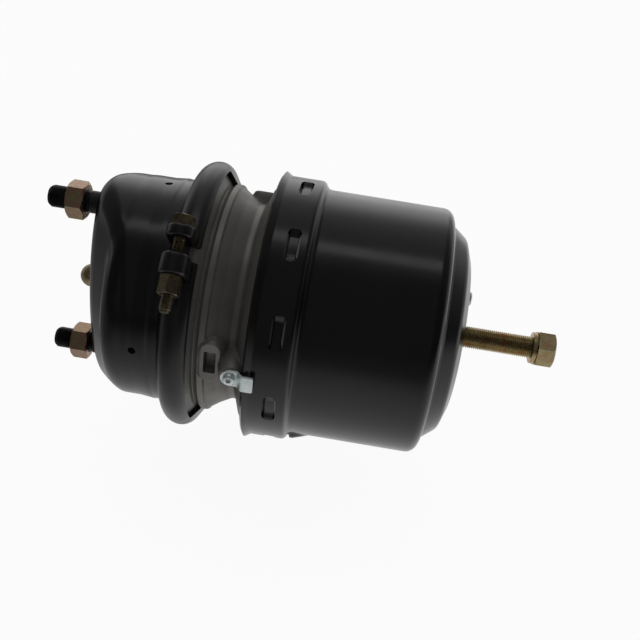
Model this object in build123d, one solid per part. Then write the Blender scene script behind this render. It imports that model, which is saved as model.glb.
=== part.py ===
from build123d import *
import os
from math import atan2, cos, degrees, hypot, pi, sin, sqrt

# Combined service and spring brake chamber for a disc brake. Sizes are in millimetres.
# X runs along the chamber, away from the brake, and X = 0 is the mounting face.
# Z is the line through the two mounting studs. Angles round the chamber start at +Z and turn
# towards -Y. Radii are measured from the X axis.

# Fits
running_fit = 0.1          # radial room of a sliding shaft in its bore
free_gap = 0.3             # room between pieces that pass each other

# Mounting
stud_spacing = 120.65
stud_diameter = 16.0
stud_length = 38.5         # out of the mounting face
stud_shank_length = 9.0    # plain part beside the face
stud_thread_loss = 0.3     # radius lost where the stud is threaded
stud_head_diameter = 22.0
stud_head_height = 4.0
stud_nut_flats = 24.0
stud_nut_height = 13.0
stud_nut_standoff = 11.5   # nuts as delivered, run part of the way down

# Service housing
cup_radius = 80.0
cup_mouth_flare = 1.6
cup_wall = 3.0
cup_depth = 69.7           # mounting face to the plane where the diaphragm is pinched
cup_front_bend = 8.0
cup_taper_start = 43.2
cup_shoulder_bend = 14.0
cup_neck_setback = 10.6    # straight mouth ends this far before the pinch plane
lip_width = 11.0           # from the cup out to its lip
pad_height = 18.5
pad_foot_reach = 7.0       # past the cup, along the studs
pad_foot_near_width = 60.0  # from the stud line towards -Y
pad_foot_far_width = 66.0   # from the stud line towards +Y
pad_top_inset = 1.0        # inside the cup, along the studs
pad_top_near_width = 38.0
pad_top_far_width = 56.0
pad_edge_round = 6.0
face_opening_radius = 26.0
drain_hole_diameter = 5.3
drain_hole_station = 44.5
drain_hole_angles = (-5.0, 92.0)

# Diaphragm and push rod
bead_thickness = 6.5
diaphragm_thickness = 3.0
rod_radius = 8.5
rod_stand_out = 17.8       # ball end beyond the mounting face
push_plate_radius = 37.5
push_plate_thickness = 3.5
boot_wall = 1.8
boot_length = 16.0
boot_throat_start = 7.0
boot_throat_length = 4.0
boot_lip_width = 1.8
boot_lip_thickness = 2.0
return_spring_wire = 4.0
return_spring_face_offset = 5.5   # outside the opening in the face
return_spring_plate_radius = 24.0
return_spring_turns = 6

# Clamp ring
ring_wall = 3.0
ring_foot_gap = 1.4        # over the cup's mouth
ring_crest_height = 6.0    # over the two lips
ring_front_overhang = 10.5
ring_rear_overhang = 12.5
ring_front_slope = 6.0     # axial run of the front flank over its whole height
ring_rear_slope = 8.6
ring_front_bend = 13.5
ring_rear_bend = 10.0
ring_relief_height = 1.6   # rear flank trimmed to this height over the lips beside the casting's bosses
ring_relief_angles = (-17.0, 133.0)

# Clamp bolt
clamp_angle = 43.5
clamp_bolt_setback = 2.0    # behind the pinch plane
clamp_bolt_offset = 9.0     # outside the ring's crest
clamp_bolt_diameter = 8.0
clamp_bolt_flats = 13.0
clamp_bolt_head_height = 5.5
clamp_nut_height = 12.8
clamp_bolt_tail = 11.0
clamp_gap = 10.6
head_ear_thickness = 8.0
nut_ear_thickness = 14.0
ear_half_width = 9.5

# Flange casting
dish_depth = 7.4
dish_slope_width = 11.0
bead_crown_drop = 7.7      # inside the casting's lip
neck_radius = 72.0
flange_start = 36.5        # from the pinch face to the foot of the rear flange
flange_front_drop = 8.0    # inside the rim
casting_length = 73.0
web_thickness = 12.0
hub_wall = 8.5
rim_wall = 13.0
tube_bush_wall = 2.4
hub_setback = 6.0          # the hub ends this far inside the casting's rear rim
tube_seal_length = 6.0
port_thread_radius = 7.25  # minor radius of M16x1.5
port_depth = 15.0
port_boss_height = 8.2     # over the neck
port_boss_width = 26.0
port_boss_length = 18.0
port_boss_bend = 6.0
port_boss_root = 22.0      # how far the boss reaches down into the neck
port_station = 32.5        # from the pinch face
service_port_angle = -36.0
spring_port_angle = -68.0
passage_radius = 2.5
window_angle = 90.0
window_station = 21.5
window_boss_length = 33.0
window_boss_width = 16.0
window_boss_height = 11.5   # over the neck
window_length = 16.5
window_width = 8.2
window_depth = 9.0
clip_angle = 90.5
clip_rise = 4.0            # from its boss up to the skirt's lip
clip_boss_radius = 8.0
clip_station = 37.3        # from the pinch face
clip_reach = 6.9           # over the skirt's lip
clip_thickness = 2.0
clip_width = 12.0
lock_screw_radius = 2.0
lock_screw_head_radius = 4.2
lock_screw_head_height = 3.0
lock_screw_length = 9.0

# Spring housing
housing_wall = 3.0
skirt_radius = 95.0
skirt_flare_rise = 2.6
skirt_start = 46.6         # from the pinch face
skirt_length = 28.0
skirt_flare_length = 4.2
skirt_step_length = 3.8    # from the skirt down to the barrel
barrel_radius = 89.3
barrel_length = 91.5
barrel_end_bend = 8.0
end_rim_width = 10.1
dome_height = 19.3
dome_edge_width = 19.3      # from the barrel in to the dome's edge
dome_shoulder_width = 13.0
dome_edge_offset = 11.0     # behind the barrel's end
dome_shoulder_offset = 15.5
lance_count = 10
lance_first_angle = -3.5
lance_station = 17.9       # from the skirt's lip
lance_length = 25.0
lance_width = 9.0
lance_tongue_width = 4.6
lance_depth = 2.7
blister_angle = 146.0
blister_half_width = 10.0
blister_length = 14.5

# Power spring, piston and release bolt
caged_stroke = 45.0        # travel of the piston, the tube and the release bolt
piston_start = 118.0       # front of the piston from the pinch face, caged
piston_wall = 5.0
piston_depth = 24.0
tube_radius = 20.0
tube_wall = 3.0
piston_seal_start = 5.0     # from the piston's front
piston_seal_length = 4.0
guide_ring_start = 12.0
guide_ring_length = 7.0
tube_pad_length = 9.0
tube_pad_flange = 4.0
power_spring_wire = 11.0
power_spring_turns = 3.3
power_spring_room = 14.3    # from its middle line to the barrel's bore, at the piston
power_spring_inset = 5.0    # inside the dome's shoulder, at the dome
release_bolt_diameter = 16.0
release_stand_out = 51.6   # from the dome to the collar, caged
collar_diameter = 23.0
collar_thickness = 3.6
release_nut_flats = 24.0
release_nut_height = 12.6
thrust_collar_radius = 13.0
thrust_collar_thickness = 7.0
boss_radius = 15.0
boss_length = 14.0
end_screw_offset = 27.5
end_screw_angle = -31.0
end_screw_head_radius = 5.6
end_screw_height = 3.8
end_screw_shank_radius = 3.0

# Radii that several pieces share
cup_mouth_radius = cup_radius + cup_mouth_flare
lip_radius = cup_radius + lip_width
casting_lip_radius = lip_radius
dish_mouth_radius = cup_radius
dish_floor_radius = dish_mouth_radius - dish_slope_width
bead_crown_radius = casting_lip_radius - bead_crown_drop
ring_foot_radius = cup_mouth_radius + ring_foot_gap
ring_crest_radius = lip_radius + ring_crest_height
clamp_bolt_radius = ring_crest_radius + clamp_bolt_offset
skirt_lip_radius = skirt_radius + skirt_flare_rise
skirt_bore = skirt_radius - housing_wall
barrel_bore = barrel_radius - housing_wall
dome_edge_radius = barrel_radius - dome_edge_width
dome_shoulder_radius = dome_edge_radius - dome_shoulder_width
tube_bore = tube_radius - tube_wall
hub_bore = tube_radius + running_fit + tube_bush_wall
port_boss_face = neck_radius + port_boss_height
window_boss_face = neck_radius + window_boss_height
clip_boss_face = skirt_lip_radius - clip_rise

# Stations along X that several pieces share
casting_face = cup_depth + bead_thickness
casting_end = casting_face + casting_length
dish_floor = casting_face + dish_depth
skirt_lip = casting_face + skirt_start
skirt_end = skirt_lip + skirt_length
barrel_end = skirt_end + skirt_step_length + barrel_length
dome_end = barrel_end + dome_height
lance_plane = skirt_lip + lance_station
piston_front = casting_face + piston_start
plate_back = dish_floor - diaphragm_thickness - free_gap
plate_front = plate_back - push_plate_thickness
tube_front = dish_floor + free_gap
clamp_bolt_station = cup_depth + clamp_bolt_setback
bush_end = casting_end - hub_setback - tube_seal_length - 2.0
port_seat = casting_face + port_station


def section(corners):
    """Flat half-section from (along X, radius, bend) corners."""
    line = FilletPolyline(
        *[(along, radius) for along, radius, _ in corners],
        radius=[bend for _, _, bend in corners],
        close=True,
    )
    return Plane.XZ * make_face(line)


def turned(corners, arc=360.0):
    """Solid of revolution about the X axis from a half-section."""
    return revolve(section(corners), axis=Axis.X, revolution_arc=arc)


def inset(path, wall):
    """The corners of a pressed sheet's inner line, which lies to the right of its outer line."""
    inner = []
    last = len(path) - 1
    for i, (along, radius, bend) in enumerate(path):
        before = path[max(i - 1, 0)]
        after = path[min(i + 1, last)]
        into = atan2(radius - before[1], along - before[0]) if i else None
        out = atan2(after[1] - radius, after[0] - along) if i < last else into
        into = out if into is None else into
        turn = (out - into + pi) % (2 * pi) - pi
        middle = into + turn / 2 - pi / 2
        reach = wall / cos(turn / 2)
        if bend:
            bend = max(bend - wall, 0.5) if turn < 0 else bend + wall
        inner.append((along + reach * cos(middle), radius + reach * sin(middle), bend))
    return inner


def down_to_axis(path):
    """Closes a line of corners on the X axis, so that it turns into a full solid."""
    corners = list(path)
    if corners[0][1] > 0:
        corners.insert(0, (corners[0][0], 0, 0))
    if corners[-1][1] > 0:
        corners.append((corners[-1][0], 0, 0))
    return corners


def around(angle, along=0.0, height=0.0):
    """Frame at an angle round the chamber: Z points outwards and X stays along the chamber."""
    return Rot(X=angle) * Pos(along, 0, height)


def hexagon(flats, height, bore_radius=0.0, chamfer_size=0.9):
    """Hexagon prism standing on the XY plane with its corners chamfered at the top."""
    body = extrude(RegularPolygon(flats / sqrt(3), 6), height)
    cone_height = height + flats / 2
    corner = flats / sqrt(3)
    cut = Cone(corner + cone_height - chamfer_size * 0.5, corner - chamfer_size * 0.5, cone_height,
               align=(Align.CENTER, Align.CENTER, Align.MAX))
    body = body & Pos(0, 0, height) * cut
    if bore_radius:
        body -= Cylinder(bore_radius, height, align=(Align.CENTER, Align.CENTER, Align.MIN))
    return body


def stud_places():
    """The two stud axes."""
    return [Pos(0, 0, side * stud_spacing / 2) for side in (1, -1)]


# ---------------------------------------------------------------- service housing

ring_front = cup_depth - ring_front_overhang
ring_rear = casting_face + ring_rear_overhang
ring_height = ring_crest_radius - ring_foot_radius


def ring_path():
    """Outer line of the clamp ring from its front foot over the crest to its rear foot."""
    return [
        (ring_front, ring_foot_radius, 0),
        (ring_front + ring_front_slope, ring_crest_radius, ring_front_bend),
        (ring_rear - ring_rear_slope, ring_crest_radius, ring_rear_bend),
        (ring_rear, ring_foot_radius, 0),
    ]


def ring_inner_station(radius, side):
    """Station of the clamp ring's inner wall on its front (-1) or rear (+1) flank."""
    slope = ring_front_slope if side < 0 else ring_rear_slope
    shift = ring_wall * hypot(slope, ring_height) / ring_height
    rise = (radius - ring_foot_radius) / ring_height * slope
    return ring_front + rise + shift if side < 0 else ring_rear - rise - shift


def cup_path(front):
    """Outer line of the service housing for a front face at the given station."""
    bend = cup_front_bend if front == 0 else cup_shoulder_bend
    neck = cup_depth - cup_neck_setback
    neck_station = max(neck, ring_inner_station(cup_mouth_radius, -1) + running_fit)
    flare = ring_inner_station(lip_radius - 4.0, -1) + running_fit
    return [
        (front, 0, 0),
        (front, cup_radius, bend),
        (cup_taper_start, cup_radius, 0),
        (neck_station - 3.0, cup_mouth_radius, 0),
        (neck_station, cup_mouth_radius, 1.5),
        (flare, lip_radius - 4.0, 3.5),
        (flare + 3.8, lip_radius, 2.5),
        (cup_depth, lip_radius, 0),
    ]


def cup_solid(front, wall):
    """The service housing's outer form, or with a wall its hollow, as one full solid."""
    path = cup_path(front)
    if wall:
        path = inset(path, wall)
        path[0] = (path[0][0], 0, 0)
        path[-1] = (cup_depth + 1.0, path[-1][1], 0)
    return turned(down_to_axis(path))


def oval(station, half_length, near_width, far_width):
    """Flat oval across the chamber, longer along the studs and wider on one side of them."""
    plane = Plane(origin=(station, 0, 0), x_dir=(0, 0, 1), z_dir=(1, 0, 0))
    near, far = [
        Ellipse(half_length, width) & Pos(0, side * width) * Rectangle(4 * half_length, 2 * width)
        for side, width in ((1, near_width), (-1, far_width))
    ]
    return plane * (near + far)


def pad_solid(wall):
    """The raised oval mounting pad, or with a wall its hollow."""
    top = (cup_radius - pad_top_inset, pad_top_near_width, pad_top_far_width)
    foot = (cup_radius + pad_foot_reach, pad_foot_near_width, pad_foot_far_width)
    below = cup_wall / pad_height
    ovals = []
    for station, drop in ((wall, 0.0), (pad_height + cup_wall + wall, 1.0 + below)):
        ovals.append(oval(station, *[t + (f - t) * drop - wall for t, f in zip(top, foot)]))
    return loft(ovals)


def service_housing():
    """Deep-drawn cup with the oval mounting pad, its opening, stud holes and drain holes."""
    pad = cup_solid(0, 0) & pad_solid(0)
    top_edge = pad.faces().sort_by(Axis.X)[0].edges()
    pad = fillet(top_edge, pad_edge_round)
    outer = pad + cup_solid(pad_height, 0)
    hollow = (cup_solid(0, cup_wall) & pad_solid(cup_wall)) + cup_solid(pad_height, cup_wall)
    housing = outer - hollow
    along_x = Plane(origin=(-1, 0, 0), z_dir=(1, 0, 0))
    housing -= extrude(along_x * Circle(face_opening_radius), cup_wall + 2)
    for place in stud_places():
        housing -= place * extrude(along_x * Circle(stud_diameter / 2), cup_wall + 2)
    for angle in drain_hole_angles:
        drill = Cylinder(drain_hole_diameter / 2, 4 * cup_wall)
        housing -= around(angle, drain_hole_station, cup_radius) * drill
    return housing


def mounting_studs():
    """Two studs with heads inside the pad, a plain shank at the face and a threaded end."""
    radius = stud_diameter / 2
    thread = radius - stud_thread_loss
    collar = radius - running_fit / 2
    corners = [
        (-stud_length, 0, 0),
        (-stud_length, thread - 2.0, 0),
        (-stud_length + 2.0, thread, 0),
        (-stud_shank_length, thread, 0),
        (-stud_shank_length, radius, 0),
        (0, radius, 0),
        (0, collar, 0),
        (cup_wall, collar, 0),
        (cup_wall, stud_head_diameter / 2, 0),
        (cup_wall + stud_head_height, stud_head_diameter / 2, 0.8),
        (cup_wall + stud_head_height, 0, 0),
    ]
    return [place * turned(corners) for place in stud_places()]


def stud_nuts():
    """One nut on each stud."""
    bore = stud_diameter / 2 - stud_thread_loss
    nut = Pos(-stud_nut_standoff, 0, 0) * Rot(Y=-90) * hexagon(stud_nut_flats, stud_nut_height, bore)
    return [place * nut for place in stud_places()]


def rod_boot():
    """Rubber gaiter between the opening in the mounting face and the push rod."""
    lip = face_opening_radius
    outer = lip - boot_wall
    throat = rod_radius + free_gap
    throat_end = boot_throat_start + boot_throat_length
    crease = (outer + throat) / 2
    corners = [
        (free_gap, lip, 0),
        (cup_wall, lip, 0),
        (cup_wall, lip + boot_lip_width, 0),
        (cup_wall + boot_lip_thickness, lip + boot_lip_width, 0),
        (cup_wall + boot_lip_thickness, lip, 0),
        (boot_length, outer, 1.5),
        (boot_length, crease, 1.5),
        (boot_throat_start + boot_wall, crease - 1.0, 0.8),
        (boot_throat_start + boot_wall, throat + 3.0, 0.5),
        (throat_end, throat + 3.0, 0),
        (throat_end, throat, 0),
        (boot_throat_start, throat, 0),
        (boot_throat_start, crease + 0.5, 1.0),
        (boot_length - 2.0, crease + boot_wall, 0.6),
        (boot_length - 2.0, outer - boot_wall, 0.8),
        (free_gap, outer - 0.5, 0),
    ]
    return turned(corners)


# ---------------------------------------------------------------- clamp


def ear(thickness, side):
    """One ear of the clamp ring: a round-topped lug beside the split."""
    plate = Pos(0, 0) * Circle(ear_half_width) + Pos(0, -10) * Rectangle(2 * ear_half_width, 20)
    outline = Plane(origin=(0, 0, 0), x_dir=(1, 0, 0), z_dir=(0, -1, 0)) * plate
    lug = extrude(outline, thickness)
    lug = fillet(lug.edges().filter_by(GeomType.CIRCLE), 1.8)
    start = clamp_gap / 2 if side > 0 else -clamp_gap / 2 - thickness
    return around(clamp_angle, clamp_bolt_station, clamp_bolt_radius) * Pos(0, -start, 0) * lug


def clamp_ring():
    """Split ring of half-round section with two ears and a relieved rear flank."""
    path = ring_path()
    inner = inset(path, ring_wall)
    rise = tuple(path[0][i] - path[1][i] for i in (0, 1))
    fall = tuple(path[3][i] - path[2][i] for i in (0, 1))
    inner[0] = (inner[0][0] + rise[0], inner[0][1] + rise[1], 0)
    inner[3] = (inner[3][0] + fall[0], inner[3][1] + fall[1], 0)
    ring = turned(path) + ear(head_ear_thickness, -1) + ear(nut_ear_thickness, 1)
    ring -= turned(inner)
    start, end = ring_relief_angles
    relief = turned(
        [
            (ring_rear - ring_rear_slope, ring_foot_radius - 5, 0),
            (ring_rear - ring_rear_slope, lip_radius + ring_relief_height, 0),
            (ring_rear + 5, lip_radius + ring_relief_height, 0),
            (ring_rear + 5, ring_foot_radius - 5, 0),
        ],
        end - start,
    )
    ring -= Rot(X=start) * relief
    ring -= around(clamp_angle, clamp_bolt_station, clamp_bolt_radius) * Box(60, clamp_gap, 50)
    hole = Rot(X=90) * Cylinder(clamp_bolt_diameter / 2 + running_fit, 80)
    return ring - around(clamp_angle, clamp_bolt_station, clamp_bolt_radius) * hole


def along_clamp(distance):
    """Frame on the clamp bolt's axis, with Z along the bolt from head to nut."""
    place = around(clamp_angle, clamp_bolt_station, clamp_bolt_radius)
    return place * Pos(0, -distance, 0) * Rot(X=90)


def clamp_bolt():
    """Hexagon bolt across the clamp's split."""
    seat = -clamp_gap / 2 - head_ear_thickness
    end = clamp_gap / 2 + nut_ear_thickness + clamp_nut_height + clamp_bolt_tail
    upright = (Align.CENTER, Align.CENTER, Align.MIN)
    shank = Cylinder(clamp_bolt_diameter / 2, end - seat, align=upright)
    shank = chamfer(shank.edges().sort_by(Axis.Z)[-1], 0.8)
    head = Rot(X=180) * hexagon(clamp_bolt_flats, clamp_bolt_head_height)
    return along_clamp(seat) * (shank + head)


def clamp_nut():
    """Tall nut on the clamp bolt."""
    seat = clamp_gap / 2 + nut_ear_thickness
    return along_clamp(seat) * hexagon(clamp_bolt_flats, clamp_nut_height, clamp_bolt_diameter / 2)


# ---------------------------------------------------------------- flange casting


def casting_outline():
    """Half-section of the casting between the two chambers."""
    f = casting_face
    flank_top = ring_inner_station(casting_lip_radius, 1) - running_fit
    flank_foot = ring_inner_station(bead_crown_radius + 0.6, 1) - running_fit
    web = dish_floor + web_thickness
    groove_bottom = skirt_bore - lance_depth - free_gap
    half_groove = lance_tongue_width / 2 + free_gap
    rim = skirt_bore
    seal_start = lance_plane + half_groove + 0.9
    seal_groove = rim - 2.8
    return [
        (f, dish_mouth_radius, 0),
        (f, casting_lip_radius, 0.5),
        (flank_top, casting_lip_radius, 0.8),
        (flank_foot, bead_crown_radius + 0.6, 0.5),
        (flank_foot + 0.9, bead_crown_radius - 2.0, 0.6),
        (f + 11.6, bead_crown_radius - 1.6, 0.8),
        (f + 12.6, bead_crown_radius, 1.5),
        (f + 16.6, bead_crown_radius - 0.4, 1.5),
        (f + 17.6, bead_crown_radius - 2.2, 0.8),
        (f + 24.0, neck_radius + 4.6, 6.0),
        (f + 32.5, neck_radius, 4.0),
        (f + flange_start, neck_radius, 2.5),
        (f + flange_start + 4.5, rim - flange_front_drop, 2.0),
        (f + flange_start + 9.0, rim, 1.2),
        (lance_plane - half_groove - 1.5, rim, 0),
        (lance_plane - half_groove, groove_bottom, 0),
        (lance_plane + half_groove, groove_bottom, 0),
        (lance_plane + half_groove, rim, 0),
        (seal_start, rim, 0),
        (seal_start, seal_groove, 0),
        (seal_start + 3.2, seal_groove, 0),
        (seal_start + 3.2, rim, 0),
        (casting_end - 1.2, rim, 0),
        (casting_end, rim - 1.2, 0),
        (casting_end, rim - rim_wall, 1.0),
        (f + flange_start + 16.0, rim - rim_wall - 1.0, 5.0),
        (f + flange_start + 8.0, neck_radius - 7.0, 6.0),
        (web, neck_radius - 10.0, 7.0),
        (web, hub_bore + hub_wall, 4.0),
        (casting_end - hub_setback, hub_bore + hub_wall - 2.0, 1.0),
        (casting_end - hub_setback, hub_bore, 0),
        (dish_floor, hub_bore, 0),
        (dish_floor, dish_floor_radius, 3.0),
    ]


def window_boss():
    """Raised oval with a rectangular pocket on the side of the neck."""
    place = around(window_angle, casting_face + window_station, 0)
    top = Pos(0, 0, window_boss_face) * Rot(Z=90)
    boss = extrude(top * SlotOverall(window_boss_length, window_boss_width), -18, taper=-3)
    boss = fillet(boss.faces().sort_by(Axis.Z)[-1].edges(), 1.2)
    pocket = extrude(top * RectangleRounded(window_length, window_width, 1.0), -window_depth)
    return place * boss, place * pocket


def port(angle, drilled_to):
    """A flat port boss on the neck, and its tapped hole with the air passage that leaves it."""
    place = around(angle, port_seat)
    outline = RectangleRounded(port_boss_length, port_boss_width, port_boss_bend)
    boss = place * extrude(Pos(0, 0, port_boss_face) * outline, -port_boss_root, taper=-6)
    downward = (Align.CENTER, Align.CENTER, Align.MAX)
    hole = place * Pos(0, 0, port_boss_face) * Cylinder(port_thread_radius, port_depth, align=downward)
    height = port_boss_face - port_depth + passage_radius
    drill = Rot(Y=90) * Cylinder(passage_radius, abs(drilled_to - port_seat))
    passage = around(angle, (port_seat + drilled_to) / 2, height) * drill
    return boss, hole, passage


def clip_boss():
    """Round boss on the flange that carries the lock clip."""
    place = around(clip_angle, casting_face + clip_station, clip_boss_face)
    downward = (Align.CENTER, Align.CENTER, Align.MAX)
    return place * Cylinder(clip_boss_radius, 16, align=downward)


def flange_casting():
    """Aluminium casting that closes both chambers and carries the air ports."""
    casting = turned(casting_outline())
    boss, pocket = window_boss()
    hollow = turned(
        [
            (dish_floor - 20, 0, 0),
            (dish_floor - 20, neck_radius - 6.0, 0),
            (casting_face + flange_start + 9.0, neck_radius - 6.0, 0),
            (casting_face + flange_start + 9.0, 0, 0),
        ]
    )
    casting += boss - hollow
    casting += clip_boss() - hollow
    for angle, drilled_to in (
        (service_port_angle, dish_floor - 5.0),
        (spring_port_angle, casting_face + flange_start + 12.0),
    ):
        port_boss, hole, passage = port(angle, drilled_to)
        casting += port_boss - hollow
        casting -= hole
        casting -= passage
    casting -= pocket
    screw = around(clip_angle, casting_face + clip_station, clip_boss_face)
    return casting - screw * Cylinder(lock_screw_radius, 24)


def tube_bush():
    """Guide bush for the piston tube in the casting's hub."""
    inner = tube_radius + running_fit
    start = dish_floor + 4.0
    end = bush_end
    return turned([(start, inner, 0), (start, inner + tube_bush_wall, 0),
                   (end, inner + tube_bush_wall, 0), (end, inner, 0)])


def tube_seal():
    """Lip seal behind the guide bush."""
    inner = tube_radius + running_fit
    start = bush_end + free_gap
    end = start + tube_seal_length
    outer = inner + tube_bush_wall
    return turned([(start, inner + 0.1, 0), (start, outer, 0), (end, outer, 0),
                   (end, outer - 1.0, 0), (start + 3.0, outer - 1.1, 0), (end, inner + 0.9, 0),
                   (end - 0.6, inner + 0.1, 0)])


def housing_seal():
    """O-ring between the casting and the spring housing's skirt."""
    half_groove = lance_tongue_width / 2 + free_gap
    station = lance_plane + half_groove + 0.9 + 1.6
    middle = skirt_bore - 1.4
    ring = Plane.XZ * Pos(station, middle) * Circle(1.35)
    return revolve(ring, axis=Axis.X)


# ---------------------------------------------------------------- spring housing


def housing_path():
    """Outer line of the spring housing from the skirt's flared lip to the middle of the dome."""
    return [
        (skirt_lip, skirt_lip_radius, 0),
        (skirt_lip + skirt_flare_length, skirt_radius, 2.0),
        (skirt_end, skirt_radius, 3.4),
        (skirt_end + skirt_step_length, barrel_radius + 0.2, 3.4),
        (barrel_end, barrel_radius, barrel_end_bend),
        (barrel_end - 0.6, barrel_radius - end_rim_width, 1.2),
        (barrel_end + dome_edge_offset, dome_edge_radius, 7.0),
        (barrel_end + dome_shoulder_offset, dome_shoulder_radius, 9.0),
        (dome_end, 16.0, 0),
        (dome_end, 0, 0),
    ]


def lance_outline():
    """Pressed-in bridge of one lance in the plane across the chamber, with its middle at +Z."""
    half = lance_length / 2
    foot = sqrt(skirt_radius**2 - half**2)
    top = [(-half - 1.5, foot), (-half + 4.0, skirt_radius - lance_depth),
           (half - 4.0, skirt_radius - lance_depth), (half + 1.5, foot)]
    bottom = [(y, z - housing_wall) for y, z in reversed(top)]
    return Plane.YZ * make_face(Polyline(*top, *bottom, close=True))


def spring_housing():
    """Pressed steel housing of the power spring, with its skirt lanced into the casting."""
    path = housing_path()
    inner = inset(path, housing_wall)
    inner[-1] = (inner[-1][0], 0, 0)
    first = inner[0]
    flare = (skirt_lip_radius - skirt_radius) / skirt_flare_length
    mouth = (first[0] - 3.0, first[1] + 3.0 * flare, 0)
    housing = turned(down_to_axis(path)) - turned(down_to_axis([mouth] + inner[1:]))
    window = extrude(Rot(Z=90) * SlotOverall(lance_length, lance_width), 12)
    bridge = extrude(lance_outline(), lance_tongue_width / 2, both=True)
    shell = turned([(skirt_lip, skirt_bore - lance_depth, 0), (skirt_lip, skirt_radius, 0),
                    (skirt_end, skirt_radius, 0), (skirt_end, skirt_bore - lance_depth, 0)])
    bridge = bridge & Pos(-lance_plane, 0, 0) * shell
    for i in range(lance_count):
        angle = lance_first_angle + i * 360.0 / lance_count
        housing -= around(angle, lance_plane, skirt_bore - 4.0) * window
        housing += around(angle, lance_plane, 0) * bridge
    start = dome_end - 40
    bore = release_bolt_diameter / 2 + running_fit
    housing -= Pos(start, 0, 0) * Rot(Y=90) * Cylinder(
        bore + 4.0, 60, align=(Align.CENTER, Align.CENTER, Align.MIN))
    drill = Cylinder(end_screw_shank_radius, 60)
    housing -= around(end_screw_angle, dome_end - 3.0, end_screw_offset) * Rot(Y=90) * drill
    return housing + blister()


def blister():
    """Louvre pressed outwards across the skirt's shoulder."""
    start = skirt_end + 4.0
    foot = barrel_radius - 1.0
    wedge = Plane.XZ * make_face(Polyline(
        (start, foot), (start, skirt_radius - 1.0), (start + blister_length, foot), close=True))
    body = extrude(wedge, blister_half_width, both=True)
    return Rot(X=blister_angle) * body


def release_boss():
    """Threaded boss in the middle of the dome that holds the release bolt."""
    bore = release_bolt_diameter / 2 + running_fit
    neck = bore + 4.0
    face = dome_end - housing_wall
    return turned([(face - boss_length, bore, 0), (face - boss_length, boss_radius, 1.0),
                   (face, boss_radius, 0), (face, neck, 0), (dome_end, neck, 0),
                   (dome_end, bore, 0)])


def end_screw():
    """Pan-head plug screw in the dome."""
    upright = (Align.CENTER, Align.CENTER, Align.MIN)
    face = dome_end - 0.3
    head = Cylinder(end_screw_head_radius, end_screw_height, align=upright)
    head = fillet(head.edges().sort_by(Axis.Z)[-1], 1.8)
    shank = Pos(0, 0, -9) * Cylinder(end_screw_shank_radius, 9, align=upright)
    return around(end_screw_angle, face, end_screw_offset) * Rot(Y=90) * (head + shank)


# ---------------------------------------------------------------- lock clip


def lock_clip():
    """Zinc-plated clip that hooks over the skirt's lip."""
    seat = casting_face + clip_station
    step = skirt_lip - seat - free_gap
    over = skirt_lip_radius + free_gap
    rise = over - clip_boss_face
    tip = skirt_lip - seat + clip_reach
    path = [(-clip_width / 2, clip_boss_face), (step - 0.8 * rise, clip_boss_face), (step, over), (tip, over)]
    outer = [(along - 0.9 if 0 < i < 3 else along, height + clip_thickness)
             for i, (along, height) in enumerate(path)]
    half = clip_width / 2
    side = Plane.XZ * make_face(Polyline(*path, *reversed(outer), close=True))
    plan = Circle(half) + Pos(clip_width, 0) * Rectangle(2 * clip_width, clip_width)
    strip = extrude(side, half, both=True) & Pos(0, 0, clip_boss_face - 1) * extrude(plan, 20)
    strip -= Pos(0, 0, clip_boss_face) * Cylinder(lock_screw_radius + 2 * running_fit, 20)
    return around(clip_angle, seat) * strip


def lock_screw():
    """Six-lobe pan screw that holds the lock clip."""
    upright = (Align.CENTER, Align.CENTER, Align.MIN)
    seat = around(clip_angle, casting_face + clip_station, clip_boss_face + clip_thickness)
    head = Cylinder(lock_screw_head_radius, lock_screw_head_height, align=upright)
    head = fillet(head.edges().sort_by(Axis.Z)[-1], 1.4)
    lobes = Cylinder(1.5, 1.8, align=upright)
    for i in range(6):
        lobes += Rot(Z=60 * i) * Pos(1.5, 0, 0) * Cylinder(0.55, 1.8, align=upright)
    length = lock_screw_length
    shank = Pos(0, 0, -length) * Cylinder(lock_screw_radius, length, align=upright)
    return seat * (head - Pos(0, 0, 1.4) * lobes + shank)


# ---------------------------------------------------------------- moving pieces


def service_diaphragm():
    """Rubber diaphragm, pinched at its bead and lying in the casting's dish."""
    bead_inner = lip_radius - 5.5
    back = dish_floor
    front = dish_floor - diaphragm_thickness
    return turned([
        (cup_depth, bead_inner, 0), (cup_depth, lip_radius - 0.5, 0.8),
        (casting_face, lip_radius - 0.5, 0.8), (casting_face, dish_mouth_radius, 0),
        (back, dish_floor_radius, 3.2), (back, 0, 0), (front, 0, 0),
        (front, dish_floor_radius - 2.0, 0), (casting_face - 3.4, dish_mouth_radius - 1.4, 0),
    ])


def push_rod():
    """Push rod with a ball end."""
    front = -rod_stand_out
    line = Line((front + rod_radius, rod_radius), (plate_front, rod_radius))
    tip = RadiusArc((front, 0), (front + rod_radius, rod_radius), rod_radius)
    rest = Polyline((plate_front, rod_radius), (plate_front, 0), (front, 0))
    return revolve(Plane.XZ * make_face(Curve() + [tip, line, rest]), axis=Axis.X)


def push_plate():
    """Plate behind the push rod, with its rim turned away from the diaphragm."""
    r = push_plate_radius
    return turned([
        (plate_front, 0, 0), (plate_front, r - 6.5, 3.0), (plate_front - 3.0, r - 2.5, 0),
        (plate_front - 1.0, r, 0), (plate_back, r - 5.0, 4.0), (plate_back, 0, 0),
    ])


def coil(wire, turns, start, end, start_radius, end_radius):
    """Coil spring about the X axis between two seats."""
    height = end - start - wire
    cone = degrees(atan2(end_radius - start_radius, height))
    path = Helix(height / turns, height, start_radius, cone_angle=cone)
    profile = Plane(origin=path @ 0, z_dir=path % 0) * Circle(wire / 2)
    spring = sweep(profile, path=path, is_frenet=True)
    return Pos(start + wire / 2, 0, 0) * Rot(Y=90) * spring


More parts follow.
